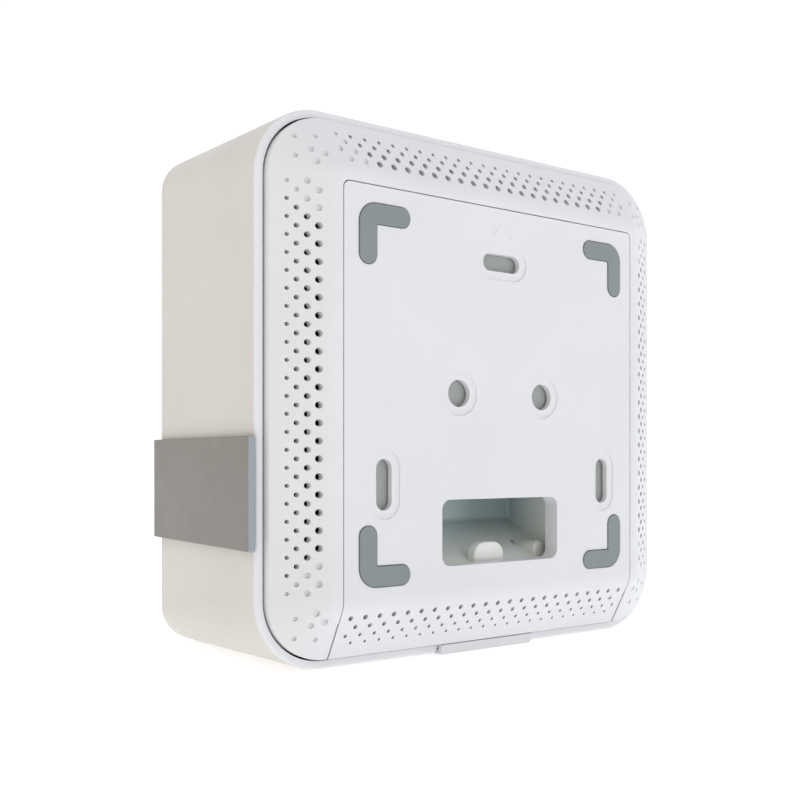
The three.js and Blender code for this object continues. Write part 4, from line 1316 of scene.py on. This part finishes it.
def metal(name, base, roughness, brush=(1.0, 1.0, 30.0)):
    """Bare metal with a brushed grain and scratches."""
    tree, shader = new_material(name)
    mapping = tree.nodes.new("ShaderNodeMapping")
    mapping.inputs["Scale"].default_value = brush
    tree.links.new(object_place(tree), mapping.inputs["Vector"])
    grain = noise(tree, mapping.outputs[0], 260.0, 4.0, 0.6)
    cloud = noise(tree, object_place(tree), 90.0, 3.0)
    marks = use_group(tree, "handling_scratches", Scale=90.0, Amount=0.5)
    darker = tuple(channel * 0.72 for channel in base)
    tone = mix_colour(tree, spread(tree, cloud, 0.35, 0.7), tuple(base), darker)
    lighter = tuple(min(1, channel * 1.2) for channel in base)
    tree.links.new(mix_colour(tree, marks["Mask"], tone, lighter), shader.inputs["Base Color"])
    brushed = spread(tree, grain, 0.3, 0.7, roughness - 0.06, roughness + 0.1)
    tree.links.new(math_node(tree, "ADD", brushed, marks["Mask"]), shader.inputs["Roughness"])
    shader.inputs["Metallic"].default_value = 1.0
    bump(tree, shader, grain, 0.2, 0.03 * MM)


def circuit_board():
    """Green solder mask over traces and ground fill, with gold pads."""
    colours = bpy.context.scene.finish_colours
    tree, shader = new_material("board_green")
    place = object_place(tree)
    cells = tree.nodes.new("ShaderNodeTexVoronoi")
    cells.distance = "MANHATTAN"
    cells.feature = "F1"
    cells.inputs["Scale"].default_value = 260.0
    tree.links.new(place, cells.inputs["Vector"])
    fill = spread(tree, cells.outputs["Distance"], 0.42, 0.5)
    bricks = tree.nodes.new("ShaderNodeTexBrick")
    bricks.inputs["Scale"].default_value = 90.0
    bricks.inputs["Mortar Size"].default_value = 0.06
    mapping = tree.nodes.new("ShaderNodeMapping")
    mapping.inputs["Rotation"].default_value = (math.pi / 2, 0, 0)
    tree.links.new(place, mapping.inputs["Vector"])
    tree.links.new(mapping.outputs[0], bricks.inputs["Vector"])
    traces = bricks.outputs["Fac"]
    base = tuple(colours.board)
    lighter = (base[0] * 2.2, base[1] * 1.7, base[2] * 1.8)
    mask = mix_colour(tree, fill, base, lighter)
    mask = mix_colour(tree, math_node(tree, "MULTIPLY", traces, 0.8), mask, lighter)
    pads = spread(tree, noise(tree, place, 420.0, 0.0), 0.74, 0.76)
    tree.links.new(mix_colour(tree, pads, mask, (0.62, 0.47, 0.18)), shader.inputs["Base Color"])
    tree.links.new(spread(tree, noise(tree, place, 300.0), 0.3, 0.7, 0.25, 0.4), shader.inputs["Roughness"])
    bump(tree, shader, math_node(tree, "MAXIMUM", traces, fill), 0.3, 0.05 * MM)
    shader.inputs["Coat Weight"].default_value = 0.4
    shader.inputs["Coat Roughness"].default_value = 0.2


def build_finishes():
    """The shared groups, then one material for each finish."""
    colours = bpy.context.scene.finish_colours
    gloss = colours.gloss
    GROUPS["moulded_plastic"] = moulded_group()
    GROUPS["settled_dust"] = dust_group()
    GROUPS["handling_scratches"] = scratch_group()
    housing = plastic("shell_white", colours.shell, gloss, 1900.0, 0.18, 0.06, 0.25)
    paint_edge_reflection(housing, HOUSING_LOW.y + 3.4 * MM, HOUSING_RIM_PAINTED_REFLECTION)
    cover = plastic("cover_white", colours.cover, gloss, 2200.0, 0.2, 0.05, 0.25)
    paint_pan_shade(cover, PAN_PAINTED_SHADE)
    plastic("plate_white", colours.plate, gloss + 0.04, 2200.0, 0.22, 0.05, 0.25)
    band = plastic("band_grey", colours.band, 0.44, 1600.0, 0.25, 0.08, 0.35)
    paint_edge_reflection(band, BAND_LOW.y + 0.1 * MM, BAND_RIM_PAINTED_REFLECTION)
    plastic("grey_rubber", colours.rubber, 0.66, 3200.0, 0.45, 0.16, 0.5)
    bay = plastic("bay_white", colours.bay, 0.42, 2400.0, 0.25, 0.12, 0.35)
    paint_bay_light_and_shade(bay, BAY_LEFT_PAINTED_BLUE_LIGHT, BAY_RIGHT_PAINTED_SHADE)
    plastic("jack_black", (0.025, 0.026, 0.028), 0.38, 2600.0, 0.25, 0.1, 0.3)
    plastic("button_white", (0.66, 0.67, 0.67), 0.4, 2600.0, 0.2, 0.05, 0.3)
    plastic("chip_black", (0.028, 0.029, 0.032), 0.5, 3600.0, 0.5, 0.05, 0.4)
    plastic("thermal_blue", (0.22, 0.30, 0.38), 0.8, 1500.0, 0.6, 0.02, 0.5)
    lens = plastic("lens", colours.lens, 0.18, 1500.0, 0.05, 0.02, 0.1, 0.5)
    lens.inputs["Emission Color"].default_value = (0.85, 0.95, 1.0, 1.0)
    lens.inputs["Emission Strength"].default_value = 0.12
    metal("aluminium", (0.66, 0.67, 0.68), 0.34, (1.0, 1.0, 24.0))
    metal("tin", (0.70, 0.71, 0.71), 0.26, (24.0, 1.0, 1.0))
    metal("antenna_brass", (0.62, 0.45, 0.20), 0.3, (1.0, 24.0, 1.0))
    metal("screw_steel", (0.50, 0.51, 0.52), 0.3, (8.0, 1.0, 8.0))
    circuit_board()


CAD_FINISHES = {
    "led_board": "board_green", "main_board": "board_green", "lan_jack_1": "jack_black",
    "lan_jack_2": "jack_black", "power_jack": "jack_black", "reset_button": "button_white",
    "reset_switch": "chip_black", "processor": "chip_black", "thermal_pad": "thermal_blue",
    "heat_sink": "aluminium", "shield_can_1": "tin", "shield_can_2": "tin",
    **{f"antenna_{i + 1}": "antenna_brass" for i in range(4)},
    **{f"cover_screw_{i + 1}": "screw_steel" for i in range(4)},
    **{f"board_screw_{i + 1}": "screw_steel" for i in range(4)},
}


def finish_cad_nodes():
    """Better materials for the CAD nodes that stay."""
    for name, finish in CAD_FINISHES.items():
        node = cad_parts[name]
        node.data.materials.clear()
        node.data.materials.append(MATERIALS[finish])


# ---------------------------------------------------------------- stage


SKY_FRONT = (0.60, 0.60, 0.61)
SKY_BEHIND = (1, 1, 1)
SKY_LEFT = (0.56, 0.47, 0.38)
SKY_OVERHEAD = (0.86, 0.90, 0.95)


def build_floor():
    """The white floor, lit faintly from under."""
    clear_selection()
    bpy.ops.mesh.primitive_plane_add(size=12, location=(0, 0, CAD_BOX[0][2]))
    floor = settle("floor")
    tree, shader = new_material("floor_white")
    grain = spread(tree, noise(tree, object_place(tree), 3.0), 0.3, 0.7, 0.55, 0.62)
    tree.links.new(grain, shader.inputs["Roughness"])
    shader.inputs["Base Color"].default_value = (0.93, 0.93, 0.93, 1)
    shader.inputs["Emission Color"].default_value = (0.98, 0.99, 1.0, 1)
    shader.inputs["Emission Strength"].default_value = bpy.context.scene.stage_look.floor_glow
    floor.data.materials.append(MATERIALS["floor_white"])


def build_surroundings():
    """White surroundings, dimmer in front, warm on the left and cool overhead."""
    scene = bpy.context.scene
    world = bpy.data.worlds.new("surroundings")
    world.use_nodes = True
    scene.world = world
    tree = world.node_tree
    sky = next(node for node in tree.nodes if node.type == "BACKGROUND")
    sky.inputs["Strength"].default_value = scene.stage_look.sky
    direction = tree.nodes.new("ShaderNodeTexCoord").outputs["Generated"]
    heading = tree.nodes.new("ShaderNodeSeparateXYZ")
    tree.links.new(direction, heading.inputs[0])
    from_left = spread(tree, heading.outputs["X"], -0.9, 0.1)
    overhead = spread(tree, heading.outputs["Z"], 0.4, 0.9)
    from_front = spread(tree, heading.outputs["Y"], -0.5, 0.5)
    front = mix_colour(tree, from_front, SKY_FRONT, SKY_BEHIND)
    warm = mix_colour(tree, from_left, SKY_LEFT, front)
    tree.links.new(mix_colour(tree, overhead, warm, SKY_OVERHEAD), sky.inputs["Color"])
    scene.view_settings.view_transform = "Standard"
    scene.view_settings.look = "None"


def add_floor_lamp():
    """A soft spot lamp that looks straight down and lights only the floor in front of the object."""
    clear_selection()
    bpy.ops.object.light_add(type="SPOT", location=(0.1, -0.55, 1.1))
    lamp = bpy.context.object
    lamp.name = "wash"
    lamp.data.energy = 30.0
    lamp.data.color = (0.97, 0.985, 1.0)
    lamp.data.spot_size = 0.8
    lamp.data.spot_blend = 0.6
    lamp.data.shadow_soft_size = 0.2


def add_camera():
    """The level camera, with its upward shift."""
    look = bpy.context.scene.stage_look
    clear_selection()
    bpy.ops.object.camera_add(location=look.place, rotation=(math.pi / 2, 0, look.turn))
    camera = bpy.context.object
    camera.name = "camera"
    camera.data.lens = look.lens
    camera.data.sensor_width = 36
    camera.data.shift_y = look.shift
    camera.data.clip_start = 0.01
    bpy.context.scene.camera = camera


# ---------------------------------------------------------------- add-on


class AP_OT_finishes(bpy.types.Operator):
    """Make the materials and give the CAD nodes theirs"""

    bl_idname = "access_point.finishes"
    bl_label = "Finishes"

    def execute(self, context):
        build_finishes()
        finish_cad_nodes()
        return {"FINISHED"}


class AP_OT_cover(bpy.types.Operator):
    """Model the rear cover with its vents"""

    bl_idname = "access_point.cover"
    bl_label = "Rear cover"

    def execute(self, context):
        build_cover()
        return {"FINISHED"}


class AP_OT_plate(bpy.types.Operator):
    """Model the mounting plate"""

    bl_idname = "access_point.plate"
    bl_label = "Mounting plate"

    def execute(self, context):
        build_plate()
        return {"FINISHED"}


class AP_OT_pads(bpy.types.Operator):
    """Model the four corner pads"""

    bl_idname = "access_point.pads"
    bl_label = "Corner pads"

    def execute(self, context):
        build_pads()
        return {"FINISHED"}


class AP_OT_housing(bpy.types.Operator):
    """Model the housing"""

    bl_idname = "access_point.housing"
    bl_label = "Housing"

    def execute(self, context):
        build_housing()
        return {"FINISHED"}


class AP_OT_band(bpy.types.Operator):
    """Model the grey band and the light pipe in it"""

    bl_idname = "access_point.band"
    bl_label = "Band and light pipe"

    def execute(self, context):
        build_band()
        build_lens()
        return {"FINISHED"}


class AP_OT_tab(bpy.types.Operator):
    """Model the release tab"""

    bl_idname = "access_point.tab"
    bl_label = "Release tab"

    def execute(self, context):
        build_tab()
        return {"FINISHED"}


class AP_OT_bay(bpy.types.Operator):
    """Model the liner behind the cable opening"""

    bl_idname = "access_point.bay"
    bl_label = "Port bay"

    def execute(self, context):
        build_bay()
        return {"FINISHED"}


class AP_OT_stage(bpy.types.Operator):
    """Set the floor, the surroundings, the lamp and the camera"""

    bl_idname = "access_point.stage"
    bl_label = "Stage"

    def execute(self, context):
        build_floor()
        build_surroundings()
        add_floor_lamp()
        add_camera()
        return {"FINISHED"}


OPERATORS = [
    AP_OT_finishes, AP_OT_cover, AP_OT_plate, AP_OT_pads, AP_OT_housing, AP_OT_band, AP_OT_tab, AP_OT_bay,
    AP_OT_stage,
]
PROPERTIES = {
    "shell_sizes": ShellSizes,
    "vent_sizes": VentSizes,
    "plate_sizes": PlateSizes,
    "bay_sizes": BaySizes,
    "finish_colours": Colours,
    "stage_look": StageLook,
}


class AP_PT_sidebar(bpy.types.Panel):
    """The access point's sizes and the steps that build it"""

    bl_label = "Access point"
    bl_idname = "AP_PT_sidebar"
    bl_space_type = "VIEW_3D"
    bl_region_type = "UI"
    bl_category = "Access point"

    def draw(self, context):
        for name in PROPERTIES:
            group = getattr(context.scene, name)
            column = self.layout.column(align=True)
            for label in group.__annotations__:
                column.prop(group, label)
        for operator in OPERATORS:
            self.layout.operator(operator.bl_idname)


def register():
    for kind in (*PROPERTIES.values(), *OPERATORS, AP_PT_sidebar):
        bpy.utils.register_class(kind)
    for name, kind in PROPERTIES.items():
        setattr(bpy.types.Scene, name, bpy.props.PointerProperty(type=kind))


def unregister():
    for name in PROPERTIES:
        delattr(bpy.types.Scene, name)
    for kind in reversed((*PROPERTIES.values(), *OPERATORS, AP_PT_sidebar)):
        bpy.utils.unregister_class(kind)


def main():
    register()
    for operator in OPERATORS:
        step = operator.bl_idname.split(".")[1]
        getattr(bpy.ops.access_point, step)()


if __name__ == "__main__":
    main()
